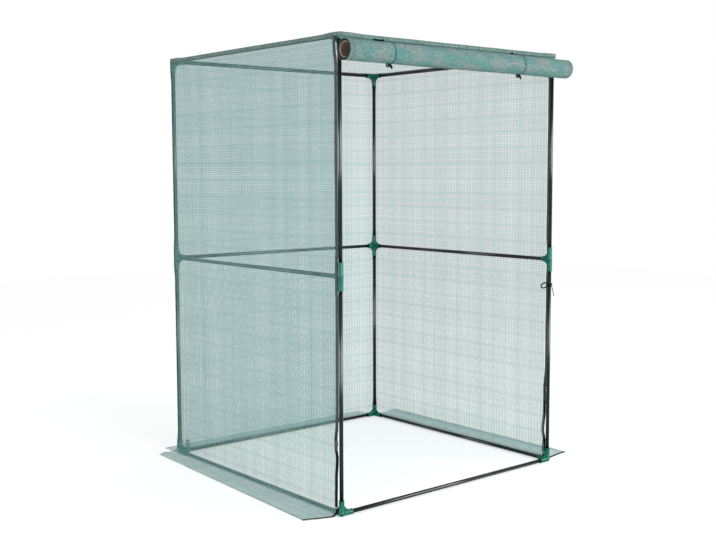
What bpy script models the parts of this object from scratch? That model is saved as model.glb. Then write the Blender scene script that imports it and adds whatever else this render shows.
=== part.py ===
"""Fruit cage: a push-fit frame of steel tubes under a zipped net cover with a roll-up door.

Metres, +Z up. The door faces -Y. The origin is on the ground under the middle of the
object's bounding box, so the frame's own centre lies a little beside it.
"""

import math

import bmesh
import bpy
from mathutils import Matrix, Vector

# Frame, measured between the axes of its tubes.
frame_width = 1.200
frame_depth = 1.200
frame_height = 1.800
mid_rail_height = 0.910

# Steel tubes and the gap that touching pieces keep.
tube_radius = 0.008
tube_wall = 0.0008
tube_sides = 12
seat_gap = 0.0003

# Plastic connectors: sockets on a ball-shaped hub.
socket_wall = 0.0023
hub_bulge = 0.0012
foot_flat = 0.0008
corner_arm_length = 0.050
mid_arm_length = 0.042
collar_half_length = 0.0535
socket_stop = 0.012
collar_web = 0.006
gusset_leg = 0.024
gusset_root = 0.004
gusset_thickness = 0.004
hub_segments = 12
hub_rings = 8

# Net cover.
net_thickness = 0.001
net_columns = 7
net_rows = 10
roof_rows = 7
strand_width = 0.010
header_drop = 0.022
binding_thickness = 0.0012
binding_width = 0.014

# Ground flaps: each reach is how far the flap lies out from the cover's wall.
flap_top_height = 0.032
flap_curl_run = 0.034
flap_left_reach_front = 0.130
flap_left_reach_back = 0.072
flap_right_reach = 0.178
flap_back_reach = 0.125
flap_hinge_gap = 0.0008
flap_front_slant = 0.047
flap_back_slant = 0.034
flap_corner_slant = 0.006
flap_edge_tape_width = 0.012

# Zips on both sides of the door opening.
zip_setback_left = 0.006
zip_setback_right = 0.022
zip_tape_width = 0.016
zip_tape_thickness = 0.001
zip_lap = 0.007
zip_bead = 0.0024
zip_end_gap = 0.0020
slider_height = 0.020
slider_wall_inner = 0.0008
slider_wall_outer = 0.0012
slider_left_height = 0.285
slider_right_height = 0.285
lug_reach = 0.0050
lug_height = 0.0046
lug_width = 0.0014
pin_radius = 0.0008
tab_eye_gap = 0.0004
tab_width = 0.0050
tab_ring_width = 0.0110
tab_length = 0.026
tab_thickness = 0.0016
tab_rim = 0.0026
tab_wall = 0.0009

# Rolled-up door on a cardboard core.
roll_radius = 0.040
roll_turns = 4
roll_turn_points = 20
roll_pitch = 0.0019
roll_sheet_thickness = 0.0012
roll_drop = 0.056
roll_left_overhang = 0.020
roll_right_overhang = 0.026
roll_edge_tape_width = 0.016
core_wall = 0.003
core_sides = 24
strip_lap = 0.010

# Ties: two hold the roll, one is knotted round the front right post.
tie_radius = 0.002
tie_left_share = -0.335
tie_right_share = 0.268
tie_knot_radius = 0.0040
tie_arc_step_share = 1 / 24
knot_segments = 8
knot_rings = 6
bow_points = 14
bow_loop_length = 0.026
bow_loop_height = 0.012
bow_tail_length = 0.024
bow_droop_share = 0.6
tail_spread_share = 0.9
post_tie_drop = 0.114
post_tie_radius = 0.0018
post_bow_forward_share = 0.25
post_bow_length = 0.031
post_bow_height = 0.019
post_tail_length = 0.048
corner_loop_radius = 0.0017
corner_loop_top = 0.122
corner_loop_bulge = 0.020
back_loop_top = 0.062
back_loop_place = 0.036
cord_resolution = 2

# Modelling values that all pieces share.
cut_overrun = 0.002
weld_distance = 0.00001
sharp_edge_degrees = 40

# Shapes given as shares of the sizes above, picked by eye.
flap_profile_shares = (
    (0.00, 1.00),
    (0.02, 0.62),
    (0.14, 0.30),
    (0.42, 0.08),
    (1.00, 0.00),
)
post_tail_shares = (
    (0.00, 0.00, 0.00),
    (0.10, -0.03, -0.22),
    (0.20, -0.05, -0.56),
    (0.34, -0.04, -1.00),
)
corner_loop_shares = (
    (0.05, 1.00),
    (0.55, 0.92),
    (0.95, 0.70),
    (1.00, 0.42),
    (0.80, 0.16),
    (0.62, 0.00),
)
back_loop_shares = (
    (0.00, 0.00),
    (-0.10, 0.45),
    (0.00, 0.85),
    (0.22, 1.00),
    (0.42, 0.85),
    (0.50, 0.45),
    (0.42, 0.00),
)

# Sizes that follow from the ones above.
socket_radius = tube_radius + seat_gap
arm_radius = socket_radius + socket_wall
hub_radius = arm_radius + hub_bulge
bottom_height = hub_radius - foot_flat
mid_height = bottom_height + mid_rail_height
top_height = bottom_height + frame_height

wall_inner_offset = hub_radius + seat_gap
wall_outer_offset = wall_inner_offset + net_thickness
trim_offset = wall_outer_offset + seat_gap
roof_under = top_height + wall_inner_offset
roof_top = roof_under + net_thickness
binding_bottom = roof_top - binding_width
header_bottom = top_height - header_drop

roll_height = top_height - roll_drop
roll_inner_radius = roll_radius - roll_turns * roll_pitch
core_radius = roll_inner_radius - roll_sheet_thickness - seat_gap
tie_circle_radius = (roll_radius + seat_gap + tie_radius) / math.cos(math.pi * tie_arc_step_share)

# The frame's centre, seen from the origin under the middle of the bounding box.
front_reach = frame_depth / 2 + trim_offset + roll_radius + tie_circle_radius + tie_radius
back_reach = frame_depth / 2 + wall_inner_offset + flap_back_reach
left_reach = frame_width / 2 + wall_inner_offset + flap_left_reach_front
right_reach = frame_width / 2 + wall_inner_offset + flap_right_reach
centre_x = (left_reach - right_reach) / 2
centre_y = (front_reach - back_reach) / 2

left_x = centre_x - frame_width / 2
right_x = centre_x + frame_width / 2
front_y = centre_y - frame_depth / 2
back_y = centre_y + frame_depth / 2
roll_y = front_y - trim_offset - roll_radius
roll_left = left_x - roll_left_overhang
roll_right = right_x + roll_right_overhang

palette = {
    "tube_paint": ((0.012, 0.035, 0.030), 0.30, 0.0),
    "connector_green": ((0.030, 0.300, 0.220), 0.42, 0.0),
    "cover_net": ((0.300, 0.480, 0.440), 0.75, 0.0),
    "binding_cloth": ((0.060, 0.200, 0.160), 0.80, 0.0),
    "zip_black": ((0.010, 0.014, 0.013), 0.60, 0.0),
    "slider_metal": ((0.080, 0.090, 0.080), 0.35, 0.9),
    "tie_cord": ((0.010, 0.045, 0.035), 0.70, 0.0),
    "core_card": ((0.420, 0.300, 0.180), 0.85, 0.0),
}


def clear_scene():
    for item in list(bpy.data.objects):
        bpy.data.objects.remove(item, do_unlink=True)


def make_collection(name):
    group = bpy.data.collections.new(name)
    bpy.context.scene.collection.children.link(group)
    return group


def make_material(name):
    color, roughness, metallic = palette[name]
    material = bpy.data.materials.new(name)
    material.use_nodes = True
    shader = material.node_tree.nodes["Principled BSDF"]
    shader.inputs["Base Color"].default_value = (*color, 1.0)
    shader.inputs["Roughness"].default_value = roughness
    shader.inputs["Metallic"].default_value = metallic
    material.diffuse_color = (*color, 1.0)
    return material


clear_scene()
parts = make_collection("fruit_cage")
cutters = make_collection("cutters")
materials = {name: make_material(name) for name in palette}


def add_object(name, data, material, place=(0, 0, 0), turn=(0, 0, 0)):
    """Put a mesh or a curve in the parts collection as a named piece."""
    if material not in [slot.name for slot in data.materials if slot]:
        data.materials.append(materials[material])
    piece = bpy.data.objects.new(name, data)
    piece.location = place
    piece.rotation_euler = turn
    parts.objects.link(piece)
    return piece


def add_cutter(name, data):
    """Put a mesh in the cutters collection, kept out of the build."""
    cutter = bpy.data.objects.new(name, data)
    cutter.hide_render = True
    cutter.display_type = "WIRE"
    cutters.objects.link(cutter)
    return cutter


def mesh_from(name, shape):
    """Turn a bmesh into mesh data."""
    bmesh.ops.recalc_face_normals(shape, faces=shape.faces)
    data = bpy.data.meshes.new(name)
    shape.to_mesh(data)
    shape.free()
    return data


def axis_turn(direction):
    """Rotation that takes +Z to a direction along one of the main axes."""
    return Vector((0, 0, 1)).rotation_difference(Vector(direction)).to_matrix().to_4x4()


def rod_mesh(name, direction, start, end, radius, sides):
    """A closed cylinder along a direction, from start to end along it."""
    shape = bmesh.new()
    middle = Vector(direction) * ((start + end) / 2)
    matrix = Matrix.Translation(middle) @ axis_turn(direction)
    bmesh.ops.create_cone(
        shape,
        cap_ends=True,
        segments=sides,
        radius1=radius,
        radius2=radius,
        depth=end - start,
        matrix=matrix,
    )
    return mesh_from(name, shape)


def box_mesh(name, low, high):
    """A closed box between two corners."""
    shape = bmesh.new()
    low, high = Vector(low), Vector(high)
    size = Matrix.Diagonal((*(high - low), 1.0))
    bmesh.ops.create_cube(shape, size=1.0, matrix=Matrix.Translation((low + high) / 2) @ size)
    return mesh_from(name, shape)


def shade_round(data):
    """Smooth shading that keeps the real edges sharp."""
    data.shade_smooth()
    data.set_sharp_from_angle(angle=math.radians(sharp_edge_degrees))


def combine(name, base, operations):
    """Run a list of Boolean steps on a base mesh and return the finished mesh."""
    work = bpy.data.objects.new(name, base)
    cutters.objects.link(work)
    for number, (operation, data) in enumerate(operations):
        step = work.modifiers.new(f"step_{number}", "BOOLEAN")
        step.operation = operation
        step.solver = "EXACT"
        step.object = add_cutter(f"{name}_{number}", data)
    bpy.context.view_layer.update()
    graph = bpy.context.evaluated_depsgraph_get()
    result = bpy.data.meshes.new_from_object(work.evaluated_get(graph))
    bpy.data.objects.remove(work, do_unlink=True)
    result.name = name
    result.materials.clear()
    return result


# Steel tubes


def steel_tube(name, centre, length, turn=(0, 0, 0)):
    """A hollow tube with open ends, a cylinder wall made thick inwards."""
    bpy.ops.mesh.primitive_cylinder_add(
        vertices=tube_sides,
        radius=tube_radius,
        depth=length,
        end_fill_type="NOTHING",
        location=centre,
        rotation=turn,
    )
    piece = bpy.context.object
    piece.name = name
    piece.data.materials.append(materials["tube_paint"])
    shade_round(piece.data)
    for group in list(piece.users_collection):
        group.objects.unlink(piece)
    parts.objects.link(piece)
    wall = piece.modifiers.new("wall", "SOLIDIFY")
    wall.thickness = tube_wall
    wall.offset = -1
    wall.use_even_offset = True
    return piece


def build_tubes():
    """Four bottom, three middle and four top rails, and eight posts."""
    along_x = (0, math.pi / 2, 0)
    along_y = (math.pi / 2, 0, 0)
    end_room = 2 * (socket_stop + seat_gap)
    wide = frame_width - end_room
    deep = frame_depth - end_room
    levels = {"bottom": bottom_height, "mid": mid_height, "top": top_height}
    for level, height in levels.items():
        steel_tube(f"{level}_rail_left", (left_x, centre_y, height), deep, along_y)
        steel_tube(f"{level}_rail_right", (right_x, centre_y, height), deep, along_y)
        steel_tube(f"{level}_rail_back", (centre_x, back_y, height), wide, along_x)
        if level != "mid":
            steel_tube(f"{level}_rail_front", (centre_x, front_y, height), wide, along_x)
    lower_start = bottom_height + socket_stop + seat_gap
    lower_end = mid_height - collar_web / 2 - seat_gap
    upper_start = mid_height + collar_web / 2 + seat_gap
    upper_end = top_height - socket_stop - seat_gap
    for corner, (x, y) in corner_places().items():
        middle = (lower_start + lower_end) / 2
        steel_tube(f"lower_post_{corner}", (x, y, middle), lower_end - lower_start)
        middle = (upper_start + upper_end) / 2
        steel_tube(f"upper_post_{corner}", (x, y, middle), upper_end - upper_start)


def corner_places():
    return {
        "front_left": (left_x, front_y),
        "front_right": (right_x, front_y),
        "back_right": (right_x, back_y),
        "back_left": (left_x, back_y),
    }


# Plastic connectors


def gusset_mesh(name, first, second):
    """A flat three-cornered web in the angle between two arms, rooted inside both."""
    first, second = Vector(first), Vector(second)
    normal = first.cross(second)
    shape = bmesh.new()
    root = (first + second) * gusset_root
    corners = (root, root + first * gusset_leg, root + second * gusset_leg)
    lift = normal * (gusset_thickness / 2)
    base = [shape.verts.new(point - lift) for point in corners]
    face = shape.faces.new(base)
    grown = bmesh.ops.extrude_face_region(shape, geom=[face])
    top = [item for item in grown["geom"] if isinstance(item, bmesh.types.BMVert)]
    bmesh.ops.translate(shape, verts=top, vec=lift * 2)
    return mesh_from(name, shape)


def connector_mesh(name, arms, collar, foot):
    """Union of a ball hub, arms and webs, with a socket bored in each arm."""
    shape = bmesh.new()
    bmesh.ops.create_uvsphere(
        shape, u_segments=hub_segments, v_segments=hub_rings, radius=hub_radius
    )
    hub = mesh_from(f"{name}_hub", shape)
    steps = []
    reach = mid_arm_length if collar else corner_arm_length
    if collar:
        collar_rod = rod_mesh(
            f"{name}_collar",
            (0, 0, 1),
            -collar_half_length,
            collar_half_length,
            arm_radius,
            tube_sides,
        )
        steps.append(("UNION", collar_rod))
    for number, arm in enumerate(arms):
        root = -gusset_root * (number + 1) / len(arms)
        rod = rod_mesh(f"{name}_arm_{number}", arm, root, reach, arm_radius, tube_sides)
        steps.append(("UNION", rod))
    if collar:
        pairs = [(arm, (0, 0, side)) for arm in arms for side in (-1, 1)]
    else:
        pairs = [(arms[0], arms[1]), (arms[1], arms[2]), (arms[2], arms[0])]
    for number, (first, second) in enumerate(pairs):
        steps.append(("UNION", gusset_mesh(f"{name}_web_{number}", first, second)))
    for number, arm in enumerate(arms):
        end = reach + cut_overrun
        bore = rod_mesh(f"{name}_bore_{number}", arm, socket_stop, end, socket_radius, tube_sides)
        steps.append(("DIFFERENCE", bore))
    if collar:
        for side in (-1, 1):
            end = collar_half_length + cut_overrun
            start = collar_web / 2
            up = (0, 0, side)
            bore = rod_mesh(f"{name}_post_{side}", up, start, end, socket_radius, tube_sides)
            steps.append(("DIFFERENCE", bore))
    if foot:
        low = (-hub_radius * 2, -hub_radius * 2, -hub_radius * 2)
        high = (hub_radius * 2, hub_radius * 2, -bottom_height)
        steps.append(("DIFFERENCE", box_mesh(f"{name}_foot", low, high)))
    result = combine(name, hub, steps)
    shade_round(result)
    return result


def build_connectors():
    """Corner pieces are one moulding turned a quarter round at each corner."""
    bottom = connector_mesh("bottom_corner", [(1, 0, 0), (0, 1, 0), (0, 0, 1)], False, True)
    top = connector_mesh("top_corner", [(0, 1, 0), (1, 0, 0), (0, 0, -1)], False, False)
    mid_front = connector_mesh("mid_front", [(0, 1, 0)], True, False)
    mid_back = connector_mesh("mid_back", [(0, -1, 0), (1, 0, 0)], True, False)
    quarter = math.pi / 2
    for number, (corner, (x, y)) in enumerate(corner_places().items()):
        turn = (0, 0, number * quarter)
        green = "connector_green"
        add_object(f"bottom_connector_{corner}", bottom, green, (x, y, bottom_height), turn)
        add_object(f"top_connector_{corner}", top, green, (x, y, top_height), turn)
        if corner.startswith("front"):
            add_object(f"mid_connector_{corner}", mid_front, green, (x, y, mid_height))
        else:
            back_turn = 0 if corner == "back_left" else -quarter
            add_object(
                f"mid_connector_{corner}", mid_back, green, (x, y, mid_height), (0, 0, back_turn)
            )


# Flat sheets cut from two-dimensional curves


def add_loop(curve, points):
    """Add one closed straight-sided outline to a flat curve."""
    spline = curve.splines.new("POLY")
    spline.points.add(len(points) - 1)
    for point, (x, y) in zip(spline.points, points):
        point.co = (x, y, 0, 1)
    spline.use_cyclic_u = True


def flat_curve(name, outlines, thickness):
    """A flat plate: the first outline is its edge and the others are holes."""
    curve = bpy.data.curves.new(name, "CURVE")
    curve.dimensions = "2D"
    curve.fill_mode = "BOTH"
    curve.extrude = thickness / 2
    for outline in outlines:
        add_loop(curve, outline)
    return curve


def rectangle(left, bottom, right, top):
    return [(left, bottom), (right, bottom), (right, top), (left, top)]


def net_outlines(left, bottom, right, top, columns, rows):
    """The edge of a net panel, and one square hole for each of its gaps."""
    outlines = [rectangle(left, bottom, right, top)]
    wide = (right - left - strand_width) / columns
    high = (top - bottom - strand_width) / rows
    for column in range(columns):
        for row in range(rows):
            x = left + strand_width + column * wide
            y = bottom + strand_width + row * high
            outlines.append(rectangle(x, y, x + wide - strand_width, y + high - strand_width))
    return outlines


side_turn = (math.pi / 2, 0, math.pi / 2)
upright_turn = (math.pi / 2, 0, 0)
wall_middle = wall_inner_offset + net_thickness / 2
net_bottom = flap_top_height + flap_hinge_gap
net_top = roof_under - seat_gap
zip_front_left = front_y + zip_setback_left
zip_front_right = front_y + zip_setback_right


def build_nets():
    """Side, back and roof nets, and the header over the door opening."""
    back_edge = back_y + wall_inner_offset - seat_gap
    for side, x, front in (
        ("left", left_x - wall_middle, zip_front_left),
        ("right", right_x + wall_middle, zip_front_right),
    ):
        front_edge = front + zip_tape_width - zip_lap
        outlines = net_outlines(
            front_edge, net_bottom, back_edge, net_top, net_columns, net_rows
        )
        curve = flat_curve(f"net_{side}", outlines, net_thickness)
        add_object(f"net_{side}", curve, "cover_net", (x, 0, 0), side_turn)
    left_edge = left_x - wall_outer_offset
    right_edge = right_x + wall_outer_offset
    outlines = net_outlines(left_edge, net_bottom, right_edge, net_top, net_columns, net_rows)
    curve = flat_curve("net_back", outlines, net_thickness)
    add_object("net_back", curve, "cover_net", (0, back_y + wall_middle, 0), upright_turn)
    front_edge = front_y - wall_outer_offset
    back_edge = back_y + wall_outer_offset
    outlines = net_outlines(left_edge, front_edge, right_edge, back_edge, net_columns, roof_rows)
    curve = flat_curve("net_roof", outlines, net_thickness)
    add_object("net_roof", curve, "cover_net", (0, 0, (roof_under + roof_top) / 2))
    outlines = [rectangle(left_edge, header_bottom, right_edge, net_top)]
    curve = flat_curve("header_net", outlines, net_thickness)
    add_object("header_net", curve, "cover_net", (0, front_y - wall_middle, 0), upright_turn)


def build_bindings():
    """Sewn binding tape: a band round the roof's edge and an angle on each back corner."""
    inner_left, inner_right = left_x - trim_offset, right_x + trim_offset
    inner_front, inner_back = front_y - trim_offset, back_y + trim_offset
    thick = binding_thickness
    band = [
        rectangle(inner_left - thick, inner_front - thick, inner_right + thick, inner_back + thick),
        rectangle(inner_left, inner_front, inner_right, inner_back),
    ]
    curve = flat_curve("roof_binding", band, binding_width)
    middle = (binding_bottom + roof_top) / 2
    add_object("roof_binding", curve, "binding_cloth", (0, 0, middle))
    top = binding_bottom - seat_gap
    height = top - net_bottom
    for side, x, sign in (("left", inner_left, -1), ("right", inner_right, 1)):
        y = inner_back
        angle = [
            (x + sign * thick, y + thick),
            (x + sign * thick, y - binding_width),
            (x, y - binding_width),
            (x, y),
            (x - sign * binding_width, y),
            (x - sign * binding_width, y + thick),
        ]
        curve = flat_curve(f"back_binding_{side}", [angle], height)
        middle = (top + net_bottom) / 2
        add_object(f"back_binding_{side}", curve, "binding_cloth", (0, 0, middle))


# Ground flaps


def flap_section(reach):
    """Points outwards and up of a flap's underside, from the wall to its outer edge."""
    points = [(run * flap_curl_run, rise * flap_top_height) for run, rise in flap_profile_shares]
    points.append((reach, 0.0))
    return points


def flap_sheet(name, material, stations, hinge, outward, along):
    """Loft a flap between its two end sections, then give it thickness outwards and up.

    The hinge line is on the wall's outer face, at the flap's top. Each station is the
    place along the wall at the hinge, the slant that the end has gained at the flap's
    outer edge, and the reach there, measured from the wall's inner face.
    """
    outward, along = Vector(outward), Vector(along)
    shape = bmesh.new()
    rows = []
    for place, slant, reach in stations:
        row = []
        for run, rise in flap_section(reach):
            shift = place + slant * run / reach
            drop = Vector((0, 0, rise - flap_top_height))
            row.append(shape.verts.new(outward * (run - net_thickness) + along * shift + drop))
        rows.append(row)
    for start, end in zip(rows, rows[1:]):
        for number in range(len(start) - 1):
            shape.faces.new((start[number], start[number + 1], end[number + 1], end[number]))
    data = bpy.data.meshes.new(name)
    shape.normal_update()
    facing = sum((face.normal * face.calc_area() for face in shape.faces), Vector())
    if facing.z < 0:
        bmesh.ops.reverse_faces(shape, faces=shape.faces)
    shape.to_mesh(data)
    shape.free()
    piece = add_object(name, data, material, hinge)
    sheet = piece.modifiers.new("sheet", "SOLIDIFY")
    sheet.thickness = net_thickness
    sheet.offset = 1
    sheet.use_even_offset = True
    return piece


def build_flaps():
    """A flap on the left, the right and the back, with black tape on the front ends."""
    tape = flap_edge_tape_width
    sides = (
        ("left", left_x, -1, zip_front_left, flap_left_reach_front, flap_left_reach_back),
        ("right", right_x, 1, zip_front_right, flap_right_reach, flap_right_reach),
    )
    wall_back = back_y + wall_inner_offset - seat_gap
    for side, x, sign, front, front_reach_here, back_reach_here in sides:
        hinge = (x + sign * wall_outer_offset, 0, flap_top_height)
        outward, along = (sign, 0, 0), (0, 1, 0)
        slant = flap_front_slant if side == "left" else flap_front_slant - zip_setback_right
        tape_stations = (
            (front, slant, front_reach_here),
            (front + tape, slant, front_reach_here),
        )
        name = f"flap_tape_{side}"
        flap_sheet(name, "zip_black", tape_stations, hinge, outward, along)
        net_stations = (
            (front + tape + seat_gap, slant, front_reach_here),
            (wall_back, flap_back_slant, back_reach_here),
        )
        flap_sheet(f"flap_{side}", "cover_net", net_stations, hinge, outward, along)
    back_stations = (
        (left_x - wall_inner_offset + seat_gap, flap_corner_slant, flap_back_reach),
        (right_x + wall_inner_offset - seat_gap, -flap_corner_slant, flap_back_reach),
    )
    hinge = (0, back_y + wall_outer_offset, flap_top_height)
    flap_sheet("flap_back", "cover_net", back_stations, hinge, (0, 1, 0), (1, 0, 0))


# Zips

slider_depth = zip_tape_width - zip_lap - 2 * seat_gap
tape_inner_offset = trim_offset
tape_outer_offset = tape_inner_offset + zip_tape_thickness
bead_middle_offset = (tape_inner_offset + tape_outer_offset) / 2
zip_bottom = net_bottom + zip_end_gap
zip_top = binding_bottom - seat_gap


def zip_outline(sign):
    """Section of half a zip: flat tape with a thicker bead of teeth on its free edge."""
    half_tape, half_bead = zip_tape_thickness / 2, zip_bead / 2
    return [
        (-sign * half_bead, 0),
        (sign * half_bead, 0),
        (sign * half_bead, zip_bead),
        (sign * half_tape, zip_bead),
        (sign * half_tape, zip_tape_width),
        (-sign * half_tape, zip_tape_width),
        (-sign * half_tape, zip_bead),
        (-sign * half_bead, zip_bead),
    ]


def slider_outline(sign):
    """Section of the slider: a channel that wraps the bead and leaves a slot for the tape."""
    inner = zip_bead / 2 + seat_gap
    slot = zip_tape_thickness / 2 + seat_gap
    wall = slider_wall_outer
    back = zip_bead + seat_gap
    return [
        (-sign * (inner + slider_wall_inner), -seat_gap - wall),
        (sign * (inner + wall), -seat_gap - wall),
        (sign * (inner + wall), slider_depth),
        (sign * slot, slider_depth),
        (sign * slot, back),
        (sign * inner, back),
        (sign * inner, -seat_gap),
        (-sign * inner, -seat_gap),
        (-sign * inner, back),
        (-sign * slot, back),
        (-sign * slot, slider_depth),
        (-sign * (inner + slider_wall_inner), slider_depth),
    ]


def solid_from_curve(name, curve):
    """The closed mesh of a filled curve, with its loose caps welded on."""
    carrier = bpy.data.objects.new(name, curve)
    cutters.objects.link(carrier)
    bpy.context.view_layer.update()
    graph = bpy.context.evaluated_depsgraph_get()
    data = bpy.data.meshes.new_from_object(carrier.evaluated_get(graph))
    bpy.data.objects.remove(carrier, do_unlink=True)
    shape = bmesh.new()
    shape.from_mesh(data)
    bmesh.ops.remove_doubles(shape, verts=shape.verts, dist=weld_distance)
    bmesh.ops.recalc_face_normals(shape, faces=shape.faces)
    shape.to_mesh(data)
    shape.free()
    data.materials.clear()
    return data


slider_middle = (slider_depth - seat_gap - slider_wall_outer) / 2
pin_offset = zip_bead / 2 + seat_gap + slider_wall_outer + lug_reach - lug_height / 2


def slider_mesh(name, sign):
    """The slider's channel with two lugs and the pin that carries its pull tab."""
    channel = solid_from_curve(name, flat_curve(name, [slider_outline(sign)], slider_height))
    face = zip_bead / 2 + seat_gap + slider_wall_outer
    root = face - slider_wall_outer / 2
    steps = []
    half_gap = tab_width / 2 + tab_eye_gap
    for side in (-1, 1):
        near = slider_middle + side * half_gap
        far = slider_middle + side * (half_gap + lug_width)
        xs = sorted((sign * root, sign * (face + lug_reach)))
        ys = sorted((near, far))
        low = (xs[0], ys[0], -lug_height / 2)
        high = (xs[1], ys[1], lug_height / 2)
        steps.append(("UNION", box_mesh(f"{name}_lug_{side}", low, high)))
    pin_half = half_gap + lug_width / 2
    start, end = slider_middle - pin_half, slider_middle + pin_half
    pin = rod_mesh(f"{name}_pin", (0, 1, 0), start, end, pin_radius, tube_sides)
    pin.transform(Matrix.Translation((sign * pin_offset, 0, 0)))
    steps.append(("UNION", pin))
    return combine(name, channel, steps)


def tab_outlines():
    """Pull tab seen flat, hanging down from its eye: an eye end and a wider ring end."""
    eye = pin_radius + tab_eye_gap
    top = eye + tab_rim
    bottom = -tab_length
    shoulder = bottom + tab_ring_width
    half, wide = tab_width / 2, tab_ring_width / 2
    corner = tab_rim / 2
    edge = [
        (-half, top),
        (-half, shoulder),
        (-wide, shoulder - tab_rim),
        (-wide, bottom + corner),
        (-wide + corner, bottom),
        (wide - corner, bottom),
        (wide, bottom + corner),
        (wide, shoulder - tab_rim),
        (half, shoulder),
        (half, top),
    ]
    hole_half = wide - tab_rim
    hole = rectangle(-hole_half, bottom + tab_rim, hole_half, shoulder - tab_rim)
    return [edge, hole]


def tab_mesh(name):
    """Flat tab with a round barrel across its top, bored for the pin."""
    plate = solid_from_curve(name, flat_curve(name, tab_outlines(), tab_thickness))
    plate.transform(Matrix.Rotation(math.pi / 2, 4, "X"))
    plate.transform(Matrix.Rotation(math.pi / 2, 4, "Z"))
    eye = pin_radius + tab_eye_gap
    half = tab_width / 2
    barrel = rod_mesh(f"{name}_barrel", (0, 1, 0), -half, half, eye + tab_wall, tube_sides)
    end = half + cut_overrun
    bore = rod_mesh(f"{name}_bore", (0, 1, 0), -end, end, eye, tube_sides)
    above = eye + tab_rim + cut_overrun
    low = (-tab_thickness, -half - cut_overrun, 0)
    high = (tab_thickness, half + cut_overrun, above)
    trim = box_mesh(f"{name}_trim", low, high)
    steps = [("DIFFERENCE", trim), ("UNION", barrel), ("DIFFERENCE", bore)]
    return combine(name, plate, steps)


def build_zips():
    """Half a zip on each side, its slider, and the slider's pull tab."""
    tab = tab_mesh("pull_tab")
    for side, x, sign, front, height in (
        ("left", left_x, -1, zip_front_left, slider_left_height),
        ("right", right_x, 1, zip_front_right, slider_right_height),
    ):
        middle_x = x + sign * bead_middle_offset
        curve = flat_curve(f"zip_tape_{side}", [zip_outline(sign)], zip_top - zip_bottom)
        place = (middle_x, front, (zip_top + zip_bottom) / 2)
        add_object(f"zip_tape_{side}", curve, "zip_black", place)
        slider = slider_mesh(f"zip_slider_{side}", sign)
        add_object(f"zip_slider_{side}", slider, "slider_metal", (middle_x, front, height))
        pin_place = (middle_x + sign * pin_offset, front + slider_middle, height)
        add_object(f"pull_tab_{side}", tab, "slider_metal", pin_place)


# Rolled-up door


def spiral_point(angle, radius):
    return (radius * math.cos(angle), radius * math.sin(angle))


def spiral_outline():
    """Outline of the wound sheet's section, with its outer end at the back.

    The sheet comes down behind the roll, then turns under it and up its front.
    """
    outside, inside = [], []
    steps = roll_turns * roll_turn_points
    for number in range(steps + 1):
        turn = number / roll_turn_points
        angle = -2 * math.pi * turn
        radius = roll_radius - roll_pitch * turn
        outside.append(spiral_point(angle, radius))
        inside.append(spiral_point(angle, radius - roll_sheet_thickness))
    least = min(
        math.dist(inside[number], outside[number + roll_turn_points])
        for number in range(steps + 1 - roll_turn_points)
    )
    print(f"door roll: {roll_turns} turns, least gap between turns {least * 1000:.2f} mm")
    return outside + inside[::-1]


def build_door():
    """The wound door net, its wound edge tapes, the card core and the free strip."""
    outline = spiral_outline()
    net_left = roll_left + roll_edge_tape_width + seat_gap
    net_right = roll_right - roll_edge_tape_width - seat_gap
    pieces = (
        ("door_roll", "cover_net", net_left, net_right),
        ("door_tape_left", "zip_black", roll_left, net_left - seat_gap),
        ("door_tape_right", "zip_black", net_right + seat_gap, roll_right),
    )
    for name, material, start, end in pieces:
        curve = flat_curve(name, [outline], end - start)
        add_object(name, curve, material, ((start + end) / 2, roll_y, roll_height), side_turn)
    bpy.ops.mesh.primitive_cylinder_add(
        vertices=core_sides,
        radius=core_radius,
        depth=roll_right - roll_left,
        end_fill_type="NOTHING",
        location=((roll_left + roll_right) / 2, roll_y, roll_height),
        rotation=(0, math.pi / 2, 0),
    )
    core = bpy.context.object
    core.name = "roll_core"
    core.data.materials.append(materials["core_card"])
    shade_round(core.data)
    for group in list(core.users_collection):
        group.objects.unlink(core)
    parts.objects.link(core)
    wall = core.modifiers.new("wall", "SOLIDIFY")
    wall.thickness = core_wall
    wall.offset = -1
    wall.use_even_offset = True
    strip_top = header_bottom + strip_lap
    outlines = [rectangle(net_left, roll_height + seat_gap, net_right, strip_top)]
    curve = flat_curve("door_strip", outlines, roll_sheet_thickness)
    strip_y = front_y - trim_offset - roll_sheet_thickness / 2
    add_object("door_strip", curve, "cover_net", (0, strip_y, 0), upright_turn)


# Ties


def cord_curve(name, path, radius, closed=False):
    """Round cord along a path of points."""
    curve = bpy.data.curves.new(name, "CURVE")
    curve.dimensions = "3D"
    curve.bevel_depth = radius
    curve.bevel_resolution = cord_resolution
    curve.use_fill_caps = not closed
    spline = curve.splines.new("POLY")
    spline.points.add(len(path) - 1)
    for point, place in zip(spline.points, path):
        point.co = (*place, 1)
    spline.use_cyclic_u = closed
    return curve


def cord_mesh(name, path, radius, closed=False):
    return solid_from_curve(name, cord_curve(name, path, radius, closed))


def knot_mesh(name, centre, radius):
    shape = bmesh.new()
    bmesh.ops.create_uvsphere(
        shape,
        u_segments=knot_segments,
        v_segments=knot_rings,
        radius=radius,
        matrix=Matrix.Translation(centre),
    )
    return mesh_from(name, shape)


def bow_loop(root, direction, rise, length, height):
    """A closed oval loop that starts in its knot and reaches outwards."""
    direction, rise = Vector(direction), Vector(rise)
    points = []
    for number in range(bow_points):
        angle = 2 * math.pi * number / bow_points
        out = direction * ((1 - math.cos(angle)) * length / 2)
        points.append(Vector(root) + out + rise * (math.sin(angle) * height / 2))
    return points


def knot_centre(x):
    """The tie's knot, on the face of the header net just under the roof binding."""
    face = front_y - wall_outer_offset
    height = binding_bottom - seat_gap - tie_knot_radius
    return Vector((x, face - seat_gap - tie_knot_radius, height))


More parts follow.
